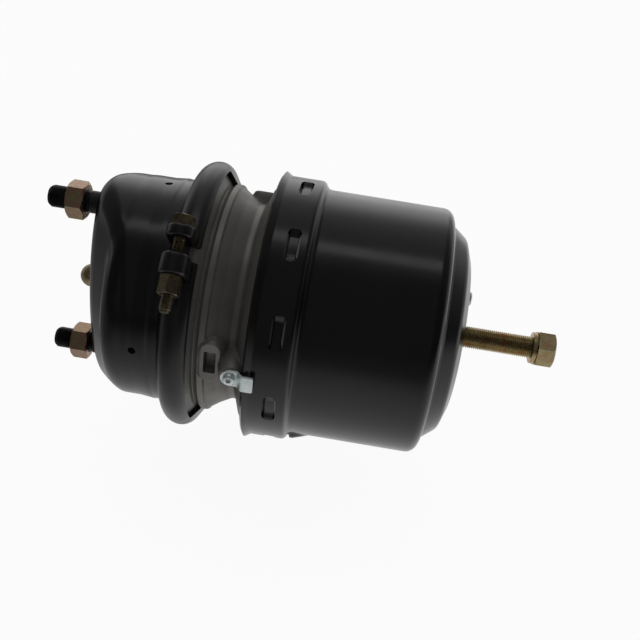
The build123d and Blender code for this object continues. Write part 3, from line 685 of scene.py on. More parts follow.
class Finishes:
    """The finishes of this object, each made once."""

    def __init__(self) -> None:
        """Makes the materials."""
        # Cathodic dip paint over pressed steel: near black and glossy, with faint orange peel.
        self.dip_paint = Finish(
            "black_dip_paint", "#070708", "#0B0B0B", 0.0, (0.17, 0.25), 40.0, 1.6, 0.004, 14.0, 0.05).build()
        # The same paint on the clamp's rolled section, a little duller.
        self.clamp_paint = Finish(
            "black_clamp_paint", "#0A0A0A", "#100F0F", 0.0, (0.24, 0.34), 30.0, 1.4, 0.008, 10.0, 0.06).build()
        # Die-cast aluminium as it leaves the mould and is vibrated: matte grey with a fine grain.
        self.cast_aluminium = Finish(
            "die_cast_aluminium", "#74726E", "#807E7A", 0.78, (0.44, 0.54), 16.0, 0.6, 0.03, 6.0, 0.05).build()
        # Machined faces and bores of the casting: bright, with finer grain.
        self.cut_aluminium = Finish(
            "machined_aluminium", "#A9A7A2", "#8F8D88", 1.0, (0.28, 0.40), 10.0, 0.4, 0.01).build()
        # Yellow chromate over zinc on the release bolt: brown-gold that drifts to olive.
        self.yellow_zinc = Finish(
            "yellow_passivated_zinc", "#B7A680", "#A0956C", 0.93, (0.22, 0.34), 5.0, 0.5, 0.02, 3.0, 0.02,
            "#B08A66", 2.5, 0.14).build()
        # Iridescent chromate on the stud nuts: gold with pink tints.
        self.tinted_zinc = Finish(
            "iridescent_passivated_zinc", "#9C866A", "#AC8074", 0.92, (0.24, 0.38), 3.5, 0.5, 0.02, 3.0, 0.02,
            "#9A9470", 2.0, 0.16).build()
        # Olive chromate on the clamp's bolt and nut.
        self.olive_zinc = Finish(
            "olive_passivated_zinc", "#746A54", "#5C5844", 0.92, (0.24, 0.40), 3.0, 0.5, 0.02, 2.0, 0.02,
            "#5C4A3C", 1.5, 0.14).build()
        # Blue-bright zinc on the lock clip and its screw.
        self.bright_zinc = Finish(
            "bright_zinc", "#E2EAEA", "#CED8D9", 0.85, (0.22, 0.36), 4.0, 0.6, 0.02).build()
        # Black zinc-flake on the mounting studs.
        self.black_stud = Finish(
            "black_flake_coating", "#121211", "#1C1B1A", 0.4, (0.38, 0.55), 6.0, 0.5, 0.03).build()
        # Natural rubber and nitrile: soft black with a dusty bloom.
        self.rubber = Finish(
            "black_rubber", "#161616", "#222221", 0.0, (0.62, 0.80), 12.0, 0.9, 0.03, 6.0, 0.05).build()
        # Moulded acetal guides: milky white.
        self.acetal = Finish("white_acetal", "#D8D6CE", "#CBC9C0", 0.0, (0.35, 0.48), 10.0, 0.8, 0.01).build()
        # Phosphated and oiled spring steel, painted dark grey-green.
        self.spring_paint = Finish(
            "spring_paint", "#23282A", "#2E3433", 0.0, (0.35, 0.5), 12.0, 1.0, 0.03).build()
        # Drawn and turned steel inside the chamber.
        self.drawn_steel = Finish(
            "drawn_steel", "#8C8A85", "#74726D", 1.0, (0.28, 0.42), 9.0, 0.5, 0.01).build()
        # Pale studio floor.
        self.floor = Finish("pale_floor", "#F4F4F3", "#F1F1F0", 0.0, (0.7, 0.8), 300.0, 3.0, 0.0).build()


def dress(piece: Piece, material: Material) -> None:
    """Gives a piece one material."""
    piece.data.materials.clear()
    piece.data.materials.append(material)


@dataclass
class SubAssembly:
    """A group of pieces that ride on bodies of the frame."""

    finishes: Finishes

    def seat(self, piece: Piece, material: Material, slot: str, *nodes: str,
             body: Body = Body.CHAMBER) -> None:
        """Dresses a finished piece and hands it to the frame.

        Args:
            piece: the object.
            material: its finish.
            slot: the record's material slot; not used.
            nodes: the frame's nodes that it stands for.
            body: the body it rides on.
        """
        dress(piece, material)
        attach(piece, body.value)
        if nodes:
            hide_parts(*nodes)
        LOG.info("%s: %d faces on %s", piece.name, len(piece.data.polygons), body.value)


# ---- service housing


@dataclass
class ServiceHousing(SubAssembly):
    """Deep-drawn cup with a raised oval mounting pad, its studs and nuts, and the boot in its opening.

    The pad's semi-axes along the studs and to either side are each given at the shoulder, with how much
    they shrink from there to the face.
    """

    columns: int = 400
    rows: int = 120
    middle: float = 41.2
    taper: Pair = (43.2, 58.96)
    face_bend: float = 8.0
    shoulder_bend: float = 14.0
    pad_bend: float = 6.5
    crease: float = 1.8
    drain_angles: Pair = (-5.0, 92.0)
    drain_station: float = 44.5
    drain_radius: float = 2.65
    pad_long: Pair = (90.0, 11.0)
    pad_near: Pair = (70.0, 13.0)
    pad_far: Pair = (60.0, 22.0)
    taper_rise: float = 1.6
    ray_limits: Pair = (15.0, 120.0)
    snap: float = 0.62

    def distance(self, x: Array, r: Array, turn: Array) -> Array:
        """Signed distance from the cup's outside.

        It is the union of a short can, whose front is the shoulder, and a tall can cut by the oval pad. The
        pad's side is where the elliptic radius is 1 for semi-axes that shrink with height over the shoulder.

        Args:
            x: stations.
            r: radii.
            turn: angles.

        Returns:
            The distance, negative inside.
        """
        start, end = self.taper
        wall = r - CUP_RADIUS - self.taper_rise * np.clip((x - start) / (end - start), 0, 1)
        y, z = r * np.sin(np.radians(turn)), r * np.cos(np.radians(turn))
        height = 1 - x / PAD_HEIGHT
        long, near, far = [axis - loss * height for axis, loss in (self.pad_long, self.pad_near, self.pad_far)]
        wide = np.where(y > 0, far, near)
        ratio = np.hypot(z / long, y / wide)
        slope = np.hypot(z / long**2, y / wide**2) / np.maximum(ratio, 1e-6)
        oval = (ratio - 1) / np.maximum(slope, 1e-6)
        tall = round_max(round_max(-x, wall, self.face_bend), oval, self.pad_bend)
        short = round_max(PAD_HEIGHT - x, wall, self.shoulder_bend)
        return -round_max(-tall, -short, self.crease)

    def cup(self) -> Piece:
        """The cup's sheet.

        Rays leave the axis inside the cup, and bisection finds where each one leaves the distance field.
        Along each ray plane the rows are then spread evenly over length plus turning.

        Returns:
            The cup.
        """
        angles = graded(0, 360, self.columns + 1, [(a, 3.0, 1.6) for a in self.drain_angles])[:-1]
        rise = np.linspace(math.atan2(FACE_OPENING, self.middle), math.pi - math.atan2(81.02, 12.0), 520)
        along, out = -np.cos(rise)[:, None], np.sin(rise)[:, None]
        turn = np.repeat(angles[None], len(rise), axis=0)
        low, high = [np.full(turn.shape, limit) for limit in self.ray_limits]
        for _ in range(30):
            t = (low + high) / 2
            inside = self.distance(self.middle + t * along, t * out, turn) < 0
            low, high = np.where(inside, t, low), np.where(inside, high, t)
        x, r = self.middle + t * along, t * out
        step = np.hypot(np.diff(x, axis=0), np.diff(r, axis=0))
        heading = np.unwrap(np.arctan2(np.diff(r, axis=0), np.diff(x, axis=0)), axis=0)
        bend = np.abs(np.diff(heading, axis=0, prepend=heading[:1]))
        near_drain = np.abs((x[1:] + x[:-1]) / 2 - self.drain_station) < 4.5
        weight = np.cumsum(step * np.where(near_drain, 1.0, 1 / 2.6) + bend / 0.16, axis=0)
        weight = np.vstack([np.zeros((1, len(angles))), weight])
        share = np.linspace(0, 1, self.rows)
        x, r = [np.column_stack([np.interp(share * total[-1], total, column) for total, column in zip(
            weight.T, rays.T)]) for rays in (x, r)]
        flare = line_with_bends([
            (53.2, 81.02, 0), (self.taper[1], 81.6, 0), (61.96, 81.6, 1.5), (64.3, 87, 3.5), (68.1, 91, 2.5),
            (CUP_DEPTH, 91, 0)], 1.0)[1:]
        flare_x, flare_r, _ = spread(flare, angles)
        x, r = np.vstack([x, flare_x]), np.vstack([r, flare_r])
        arc = np.broadcast_to(np.radians(angles) * CUP_RADIUS, x.shape)
        x, arc, gap = snapped(x, arc, [self.drain(angle) for angle in self.drain_angles], self.snap)
        grid = around_x(x, r, arc / CUP_RADIUS)
        faces = outside(grid_faces(len(x), len(angles), True, False), gap)
        normal = np.cross(np.gradient(grid, axis=0), np.roll(grid, -1, axis=1) - np.roll(grid, 1, axis=1))
        normal /= np.maximum(np.linalg.norm(normal, axis=2, keepdims=True), 1e-12)
        sign = -np.sign((normal * (grid - np.array([self.middle * MM, 0, 0]))).sum())
        points, faces = walled(grid, faces, normal * sign * CUP_WALL * MM)
        return make_piece("service_cup", points, faces)

    def drain(self, angle: float) -> Field:
        """Signed distance from a drain hole in (station, arc) coordinates."""
        def distance(u: Array, v: Array) -> Array:
            away = away_from(v / CUP_RADIUS, math.radians(angle))
            return np.hypot(u - self.drain_station, away * CUP_RADIUS) - self.drain_radius
        return distance

    def on_stud(self, side: int, station: float = 0.0) -> Matrix:
        """Frame on the axis of the stud above (+1) or below (-1), with Z out of the mounting face."""
        place = Matrix.Translation((station * MM, 0, side * STUD_SPACING / 2 * MM))
        return place @ Matrix.Rotation(-math.pi / 2, 4, "Y")

    def stud(self, side: int) -> Piece:
        """A mounting stud: a plain shank at the face, then a thread with a chamfered end.

        Args:
            side: +1 or -1 for the stud above or below the axis.

        Returns:
            The stud.
        """
        head = [(-7, 0), (-7, 10.6), (-6.6, 11), (-3.4, 11), (-3, 10.6), (-3, STUD_RADIUS), (-0.2, STUD_RADIUS),
                (8.2, STUD_RADIUS), (9.0, 7.1)]
        tail = [(37.3, 7.1), (38.5, 6.1), (38.5, 0)]
        piece = screw("mounting_stud", head, (9.0, 37.3, 7.95, STUD_PITCH, 0.85), tail)
        return placed(piece, self.on_stud(side))

    def stud_nut(self, side: int) -> Piece:
        """A nut on a mounting stud, as far down as it is delivered."""
        nut = hexagon_piece("stud_nut", 24.0, 13.0, 7.6, turn=STUD_NUT_TURN)
        return placed(nut, self.on_stud(side, -11.5))

    def boot(self) -> Piece:
        """The rubber boot: a rolled gaiter between the opening and the push rod."""
        throat, crease = 8.8, 16.5
        return turned_piece("rod_gaiter", [
            (0.3, 26, 0.3), (3, 26, 0), (3, 27.8, 0.3), (5, 27.8, 0.5), (5, 26, 0.5), (16, 24.2, 1.5),
            (16, crease, 1.5), (8.8, crease - 1, 0.8), (8.8, throat + 3, 0.5), (11, throat + 3, 0.5),
            (11, throat, 0.4), (7, throat, 0.4), (7, crease + 0.5, 1.0), (14, crease + 1.8, 0.6),
            (14, 22.4, 0.8), (0.3, 25.5, 0.3)], 160, 0.6)

    def build(self) -> None:
        """Makes the sub-assembly's pieces."""
        finish = self.finishes
        self.seat(self.cup(), finish.dip_paint, "black_paint", "service_housing")
        studs = joined("mounting_studs_pair", [self.stud(side) for side in (1, -1)])
        self.seat(studs, finish.black_stud, "black_paint", "mounting_studs")
        nuts = joined("stud_nut_pair", [self.stud_nut(side) for side in (1, -1)])
        self.seat(nuts, finish.tinted_zinc, "yellow_zinc", "stud_nuts")
        self.seat(self.boot(), finish.rubber, "black_rubber", "rod_boot")


# ---- clamp


@dataclass
class ClampRing(SubAssembly):
    """Split ring that pinches the two rims together, with its ears, bolt and nut."""

    gap: float = 10.6
    head_ear: float = 8.0
    nut_ear: float = 14.0
    ear_half_width: float = 9.5
    head_flats: float = 14.6
    head_height: float = 6.6
    nut_flats: float = 13.0
    nut_height: float = 12.8
    bolt_end: float = 11.0
    wall: float = 3.0
    relief: Pair = (-17.0, 133.0)
    relief_radius: float = 92.6

    def ring(self) -> Piece:
        """The ring's sheet: its outer line carried round from one side of the split to the other.

        Columns start and end on the two planes beside the split, at asin(gap / 2 / r). Beside the casting's
        bosses the rear flank ends sooner: each column's share of the line shrinks there by a smooth step.

        Returns:
            The ring.
        """
        line = line_with_bends([(61.2, 82.0, 0), (66.4, 97, 12), (80.6, 97, 10), (89.2, 83, 0)], 0.9)
        length = np.concatenate([[0], np.cumsum(np.hypot(*np.diff(line, axis=0).T))])
        short = length[np.flatnonzero((line[:, 0] > 75) & (line[:, 1] < self.relief_radius))[0]]
        share = np.linspace(0, 1, 420)
        wrapped = away_from(CLAMP_ANGLE + 360 * share, 0, 360)
        low, high = self.relief
        cut = bed(wrapped, low - 2.2, low + 2.2) * (1 - bed(wrapped, high - 2.2, high + 2.2))
        reach = length[-1] + (short - length[-1]) * cut
        s = np.linspace(0, 1, 56)[:, None] * reach[None, :]
        x, r = np.interp(s, length, line[:, 0]), np.interp(s, length, line[:, 1])
        edge = np.degrees(np.arcsin(self.gap / 2 / r))
        a = np.radians(CLAMP_ANGLE + edge + (360 - 2 * edge) * share[None, :])
        grid = around_x(x, r, a)
        slope_x, slope_r = np.gradient(x, axis=0), np.gradient(r, axis=0)
        size = np.maximum(np.hypot(slope_x, slope_r), 1e-9)
        inward = around_x(slope_r / size, -slope_x / size, a) * self.wall
        sheet = grid_faces(*x.shape, False, False)
        points, faces = walled(grid, sheet, inward)
        faces = np.vstack([faces, sheet[:, ::-1] + len(points)])
        return make_piece("clamp_band", np.vstack([points, (grid + inward).reshape(-1, 3)]), faces)

    def ear(self, name: str, thickness: float, side: int) -> Piece:
        """One ear beside the split: a plate with a round top that runs down into the ring.

        Args:
            name: the piece's name.
            thickness: the ear's thickness.
            side: +1 for the nut's side of the split, -1 for the head's.

        Returns:
            The ear.
        """
        half = self.ear_half_width
        top = np.radians(np.linspace(0, 180, 41))
        arch = np.stack([half * np.cos(top), half * np.sin(top)], axis=1)
        left = np.stack([np.full(8, -half), np.linspace(-1, -15, 8)], axis=1)
        right = np.stack([np.full(8, half), np.linspace(-15, -1, 8)], axis=1)
        outline = np.vstack([arch, left, right])
        start = self.gap / 2 if side > 0 else -self.gap / 2 - thickness
        return placed(plate_piece(name, outline, thickness, 2.2), self.across(start))

    def across(self, distance: float) -> Matrix:
        """Frame on the clamp bolt's axis, off the split's middle, with Z from the head towards the nut."""
        place = around(CLAMP_ANGLE, CLAMP_STATION, CLAMP_RADIUS)
        return place @ Matrix.Translation((0, -distance * MM, 0)) @ Matrix.Rotation(math.pi / 2, 4, "X")

    def build(self) -> None:
        """Makes the sub-assembly's pieces."""
        finish = self.finishes
        ears = [self.ear("ear_head", self.head_ear, -1), self.ear("ear_nut", self.nut_ear, 1)]
        self.seat(joined("clamp_band", [self.ring(), *ears]), finish.clamp_paint, "black_paint", "clamp_ring")
        length = self.gap + self.head_ear + self.nut_ear + self.nut_height + self.bolt_end
        shank = screw("clamp_shank", [(0, 0), (0, 4.0), (9, 4.0), (9.6, 3.4)],
                      (9.6, length - 0.9, 3.98, 1.25, 0.68), [(length, 2.8), (length, 0)])
        head = hexagon_piece("clamp_head", self.head_flats, self.head_height, 0, (False, True), 11.0)
        placed(head, Matrix.Rotation(math.pi, 4, "X"))
        bolt = placed(joined("clamp_screw", [shank, head]), self.across(-self.gap / 2 - self.head_ear))
        self.seat(bolt, finish.olive_zinc, "yellow_zinc", "clamp_bolt")
        nut = placed(hexagon_piece("clamp_screw_nut", self.nut_flats, self.nut_height, 3.9, turn=4.0),
                     self.across(self.gap / 2 + self.nut_ear))
        self.seat(nut, finish.olive_zinc, "yellow_zinc", "clamp_nut")


# ---- flange casting


@dataclass
class FlangeCasting(SubAssembly):
    """Die-cast body between the two chambers, with its port bosses, window boss and clip boss."""

    window_angle: float = 90.0
    window_station: float = 97.7
    window_face: float = 83.5
    wall_slope: float = 5.0
    edge_bend: float = 1.6
    boss_span: Pair = (86.2, 122.4)
    lip_station: float = 121.2
    snap: float = 0.44
    port_mouth: float = 8.3

    def outer_line(self) -> Array:
        """The casting's outer half-section from its front face to its rear rim."""
        return line_with_bends([
            (76.2, 91, 0.5), (80.1, 91, 0.8), (84.7, 83.9, 0.5), (85.6, 81.3, 0.6), (87.8, 81.7, 0.8),
            (88.8, 83.3, 1.5), (92.8, 82.9, 1.5), (93.8, 81.1, 0.8), (100.2, 76.6, 6), (108.7, 72, 4),
            (112.7, 72, 2.5), (117.2, 84, 2), (121.7, 92, 1.2), (136.4, 92, 0), (138.1, 89, 0), (143.3, 89, 0),
            (143.3, 92, 0), (148, 92, 0), (149.2, 90.8, 0)], 0.62)

    def inner_line(self) -> Array:
        """The rest of the half-section: the rear recess, the hub, its bore and the diaphragm's dish."""
        return line_with_bends([
            (149.2, 90.8, 0), (149.2, 79, 1), (128.7, 78, 5), (120.7, 65, 6), (95.6, 62, 7), (95.6, 31, 4),
            (143.2, 29, 1), (143.2, 22.5, 0), (83.6, 22.5, 0), (83.6, 69, 3), (76.2, 80, 0), (76.2, 91, 0)],
            4.0)[1:-1]

    def boss(self, x: Array, turn: Array, angle: float, face: float, outline: Field) -> Array:
        """Radius of a flat-topped boss: (face - slope * max(distance, 0)) / cos(angle away), edge rounded.

        Args:
            x: stations.
            turn: angles.
            angle: the boss's angle.
            face: the height of its top above the axis.
            outline: signed distance of its outline from (x, sideways).

        Returns:
            The radius, or a large negative number far from the boss.
        """
        away = np.radians(away_from(turn, angle, 360))
        gap = outline(x, flat_offset(face, away))
        height = face - self.wall_slope * soft_max(gap, np.zeros_like(gap), self.edge_bend)
        return np.where(np.abs(away) < 0.7, height / np.cos(np.clip(away, -WIDEST_AWAY, WIDEST_AWAY)), -FAR)

    def body(self) -> Piece:
        """The casting: a revolved section whose outer line is raised by the bosses.

        The radius is the smooth maximum of the neck's radius and each boss's. The mouths of the ports and
        the window's pocket are cut on the grid, and their walls are pieces of their own.

        Returns:
            The casting.
        """
        outer, inner = self.outer_line(), self.inner_line()
        spots = [(angle % 360, 13.5, 2.6) for angle in PORT_ANGLES]
        spots += [(self.window_angle, 14.5, 2.6)]
        angles = graded(0, 360, 441, spots)[:-1]
        x, base, turn = spread(outer, angles)
        arc = np.radians(turn) * PORT_FACE
        x, arc, gap = snapped(x, arc, [*map(self.mouth, PORT_ANGLES), self.window], self.snap)
        turn = np.degrees(arc / PORT_FACE)
        r = base
        for angle in PORT_ANGLES:
            r = soft_max(r, self.boss(x, turn, angle, PORT_FACE, lambda u, v: box_distance(
                u - PORT_STATION, v, 9.0, 13.0, 6.0)), 2.0)
        r = soft_max(r, self.boss(x, turn, self.window_angle, self.window_face, lambda u, v: slot_distance(
            v, u - self.window_station, 16.5, 8.0)), 1.6)
        r = soft_max(r, self.boss(x, turn, CLIP_ANGLE, CLIP_FACE - 0.02, lambda u, v: np.hypot(
            u - CLIP_STATION, v) - 8.0), 1.6)
        r = np.where((x > self.boss_span[0]) & (x < self.boss_span[1]), r, base)
        r = np.where(x > self.lip_station, np.minimum(r, np.maximum(base, CLIP_FACE)), r)
        hidden = around_x(*spread(inner, np.radians(angles)))
        grid = np.concatenate([around_x(x, r, np.radians(turn)), hidden])
        gap = np.vstack([gap, np.full(hidden.shape[:2], FAR)])
        faces = outside(grid_faces(len(grid), len(angles), True, True), gap)
        return make_piece("flange_body", grid, faces)

    def mouth(self, angle: float) -> Field:
        """Signed distance from a port's mouth in (station, arc) coordinates."""
        def distance(u: Array, v: Array) -> Array:
            away = away_from(v / PORT_FACE, math.radians(angle))
            return np.hypot(u - PORT_STATION, flat_offset(PORT_FACE, away)) - self.port_mouth
        return distance

    def window(self, u: Array, v: Array) -> Array:
        """Signed distance from the window's pocket in (station, arc) coordinates."""
        sideways = flat_offset(self.window_face, v / PORT_FACE - math.radians(self.window_angle))
        return box_distance(sideways, u - self.window_station, 8.25, 4.1, 1.0)

    def port_lining(self, angle: float, name: str) -> Piece:
        """A port's chamfer, tapped bore and flat bottom, as one surface that opens outwards.

        Args:
            angle: the port's angle.
            name: the piece's name.

        Returns:
            The lining.
        """
        mouth, root = self.port_mouth, 8.0
        chamfer = ringed_points([(0.0, mouth + 0.03), (-0.9, root - 0.6)])
        thread = threaded_points(-14.0, -0.9, root, STUD_PITCH, 0.75)[::-1]
        bottom = ringed_points([(-14.6, 6.6), (-15.0, 6.0), (-15.0, 0)])
        piece = grid_piece(name, np.concatenate([chamfer, thread, bottom]))
        piece.data.flip_normals()
        return placed(piece, around(angle, PORT_STATION, PORT_FACE))

    def window_lining(self) -> Piece:
        """The walls and the floor of the window's pocket.

        Rows are the pocket's outline moved inwards as they go down, with a rounded foot.

        Returns:
            The lining.
        """
        t = np.linspace(0, 2 * np.pi, 96, endpoint=False)
        circle, half = np.stack([np.cos(t), np.sin(t)], axis=1), np.array([7.25, 3.1])
        outline = np.clip(half * boxed(circle, 0.2) * 3, -half, half) + circle
        size = np.linalg.norm(outline, axis=1, keepdims=True)
        steps = ((-0.05, 0.0), (0.0, -0.4), (0.25, -8.0), (0.5, -8.7), (1.2, -9.0), (FAR, -9.0))
        rows = [np.column_stack([outline * np.maximum(1 - inset / size, 0), np.full(len(t), depth)])
                for inset, depth in steps]
        piece = grid_piece("window_lining", np.array(rows) * MM)
        piece.data.flip_normals()
        turn = Matrix.Rotation(math.pi / 2, 4, "Z")
        return placed(piece, around(self.window_angle, self.window_station, self.window_face) @ turn)

    def build(self) -> None:
        """Makes the sub-assembly's pieces."""
        finish = self.finishes
        self.seat(self.body(), finish.cast_aluminium, "cast_aluminium", "flange_casting")
        for angle, name in zip(PORT_ANGLES, ("service_port_bore", "spring_port_bore")):
            self.seat(self.port_lining(angle, name), finish.cut_aluminium, "cast_aluminium")
        self.seat(self.window_lining(), finish.cast_aluminium, "cast_aluminium")


# ---- spring housing


@dataclass
class SpringHousing(SubAssembly):
    """Pressed housing of the power spring: flared lip, lanced skirt, barrel, recessed rim and dome."""

    columns: int = 560
    lance_half_length: float = 12.5
    lance_half_width: float = 4.5
    tongue_half_width: float = 3.4
    tongue_depth: float = 2.7
    wall: float = 3.0
    snap: float = 0.56
    blister_rise: Pair = (152.8, 155.0)
    blister_end: float = 169.3
    blister_length: float = 14.5
    blister_half_width: float = 10.5
    blister_height: float = 5.4

    def line(self) -> Array:
        """The housing's outer line from the lip to the bore in the dome, closer at the lances."""
        start = line_with_bends([(SKIRT_LIP, 97.6, 0), (127, 95, 2.0), (132.2, 95, 0)], 1.0)
        lances = np.stack([np.linspace(134.7, 146.7, 16), np.full(16, SKIRT_RADIUS)], axis=1)
        rest = line_with_bends([
            (147.7, 95, 0), (SKIRT_END, 95, 3.4), (154.6, 89.5, 3.4), (BARREL_END, BARREL_RADIUS, 8.0),
            (245.5, 79.2, 1.2), (257.1, 70, 7), (261.6, 57, 9), (DOME_END, 16, 0), (DOME_END, 12.1, 0)], 1.0)
        along, radius = rest.T
        step = np.hypot(*np.diff(rest, axis=0, prepend=rest[:1]).T)
        straight = (along > 172) & (along < 235)
        flat = (radius < 52) & (radius > 18)
        weight = np.cumsum(step * np.where(straight, 0.12, np.where(flat, 0.3, 1.0)))
        picked = np.interp(np.linspace(0, weight[-1], 74), weight, np.arange(len(rest)))
        near = picked.astype(int)
        keep = np.unique(np.concatenate([near, [len(rest) - 1]]))
        return np.vstack([start, lances, rest[keep]])

    def blister(self, x: Array, turn: Array) -> Array:
        """Height of the hooded louvre behind the skirt.

        It rises over 2 mm behind the skirt, falls as the 0.8th power of what is left of its length, and is
        rounded across by 1 - (sideways / half-width)^3.2.

        Args:
            x: stations.
            turn: angles.

        Returns:
            The height over the barrel.
        """
        sideways = BARREL_RADIUS * np.radians(away_from(turn, BLISTER_ANGLE, 360))
        along = bed(x, *self.blister_rise) * np.clip((self.blister_end - x) / self.blister_length, 0, 1) ** 0.8
        across = 1 - np.clip(np.abs(sideways) / self.blister_half_width, 0, 1) ** 3.2
        return self.blister_height * along * across

    def shell(self) -> Piece:
        """The housing's sheet with its ten lances cut through and its edges walled.

        Returns:
            The housing.
        """
        profile = self.line()
        angles = np.linspace(0, 360, self.columns, endpoint=False) + LANCE_ANGLES[0]
        x, base, turn = spread(profile, angles)
        arc = np.radians(turn) * SKIRT_RADIUS

        def lances(u: Array, v: Array) -> Array:
            away = away_from(v / SKIRT_RADIUS, math.radians(LANCE_ANGLES[0]), 2 * math.pi / len(LANCE_ANGLES))
            return slot_distance(away * SKIRT_RADIUS, u - LANCE_PLANE, self.lance_half_length,
                                 self.lance_half_width)

        x, arc, gap = snapped(x, arc, [lances], self.snap)
        turn = np.degrees(arc / SKIRT_RADIUS)
        r = np.where(x > SKIRT_END, soft_max(base, BARREL_RADIUS - 0.5 + self.blister(x, turn), 0.8), base)
        r = np.where((x > 171.2) | (x < SKIRT_END), base, r)
        a = np.radians(turn)
        faces = outside(grid_faces(*x.shape, True, False), gap)
        slope = np.gradient(profile, axis=0)
        slope /= np.linalg.norm(slope, axis=1, keepdims=True)
        inward = around_x(slope[:, 1:], -slope[:, :1], a) * self.wall
        return make_piece("spring_shell", *walled(around_x(x, r, a), faces, inward))

    def tongue(self, angle: float, index: int) -> Piece:
        """The strip in one lance that is pressed into the casting's groove.

        Its radius is the skirt's less the depth times a smooth step in from each end, and it crosses the
        lance from end to end; its long edges drop by the wall.

        Args:
            angle: the lance's angle.
            index: the lance's number.

        Returns:
            The strip.
        """
        v = np.linspace(-self.lance_half_length - 0.3, self.lance_half_length + 0.3, 44)
        depth = self.tongue_depth * bed(self.lance_half_length - np.abs(v), 0.0, 6.0)
        half = self.tongue_half_width
        u = np.array([-half, -half, -half + 0.3, -half + 0.8, half - 0.8, half - 0.3, half, half])
        drop = np.array([self.wall, 0.6, 0.15, 0.0, 0.0, 0.15, 0.6, self.wall])
        r = (SKIRT_RADIUS - 0.02 - depth)[:, None] - drop[None]
        grid = around_x(LANCE_PLANE + u[None], r, np.radians(angle) + v[:, None] / SKIRT_RADIUS)
        piece = make_piece(f"tongue_{index}", grid, grid_faces(*r.shape, False, False))
        middle = Vector((LANCE_PLANE * MM, 0, 0))
        face = max(piece.data.polygons, key=lambda p: p.area)
        if face.normal.dot(face.center - middle) < 0:
            piece.data.flip_normals()
        return piece

    def plug_screw(self) -> Piece:
        """The small pan-head plug in the dome."""
        return placed(pan_head("plug_head", 5.6, 3.8), along_x(DOME_END, END_SCREW_RADIUS, END_SCREW_ANGLE))

    def boss_face(self) -> Piece:
        """The threaded boss behind the dome, whose front shows round the release bolt."""
        return turned_piece("release_boss_body", [
            (248.4, 8.1, 0), (248.4, 15, 1), (262.4, 15, 0), (262.4, 12.1, 0), (265.6, 12.0, 0.4),
            (265.6, 8.8, 0), (264.8, 8.1, 0)], 96)

    def build(self) -> None:
        """Makes the sub-assembly's pieces."""
        finish = self.finishes
        tongues = [self.tongue(angle, i) for i, angle in enumerate(LANCE_ANGLES)]
        shell = joined("spring_shell", [self.shell(), *tongues])
        self.seat(shell, finish.dip_paint, "black_paint", "spring_housing")
        self.seat(self.plug_screw(), finish.bright_zinc, "bright_zinc", "end_screw")
        self.seat(self.boss_face(), finish.drawn_steel, "drawn_steel", "release_boss")


# ---- lock clip


@dataclass
class LockClip(SubAssembly):
    """Zinc clip that hooks over the skirt's lip, held by a six-lobe pan screw."""

    thickness: float = 2.0
    half_width: float = 6.0
    tip: float = 16.2

    def clip(self) -> Piece:
        """The clip: a strip with a round end whose height steps up over the skirt's lip.

        A row across the strip at distance s from the screw is as wide as the round end allows,
        sqrt(half^2 - s^2) before the screw, and its height is the boss's plus a smooth step.

        Returns:
            The clip.
        """
        round_end = -self.half_width * np.cos(np.linspace(0, np.pi / 2, 16))
        s = np.concatenate([round_end, np.linspace(0.4, self.tip, 44)])
        half = np.where(s < 0, np.sqrt(np.maximum(self.half_width**2 - s**2, 0)), self.half_width)
        half = np.where(s > self.tip - 1.5, half - (s - self.tip + 1.5) ** 2 / 3.0, half)
        low = CLIP_FACE + 4.3 * bed(s, 4.6, 9.2)
        angle = np.linspace(0, 2 * np.pi, 40, endpoint=False)
        y = half[:, None] * boxed(np.cos(angle), 0.25)
        z = low[:, None] + self.thickness * (0.5 + 0.5 * boxed(np.sin(angle), 0.25))
        grid = np.stack(np.broadcast_arrays(s[:, None], y, z), axis=2)
        ends = [np.tile(row.mean(axis=0), (1, len(angle), 1)) for row in (grid[0], grid[-1])]
        piece = grid_piece("lock_strip", np.concatenate([ends[0], grid, ends[1]]) * MM)
        return placed(piece, around(CLIP_ANGLE, CLIP_STATION))

    def pan_screw(self) -> Piece:
        """The screw that holds the clip."""
        place = around(CLIP_ANGLE, CLIP_STATION, CLIP_FACE + self.thickness)
        return placed(pan_head("lock_pan_screw", 4.2, 3.0), place)

    def build(self) -> None:
        """Makes the sub-assembly's pieces."""
        bright = self.finishes.bright_zinc
        self.seat(self.clip(), bright, "bright_zinc", "lock_clip")
        self.seat(self.pan_screw(), bright, "bright_zinc", "lock_screw")


# ---- release bolt and push rod


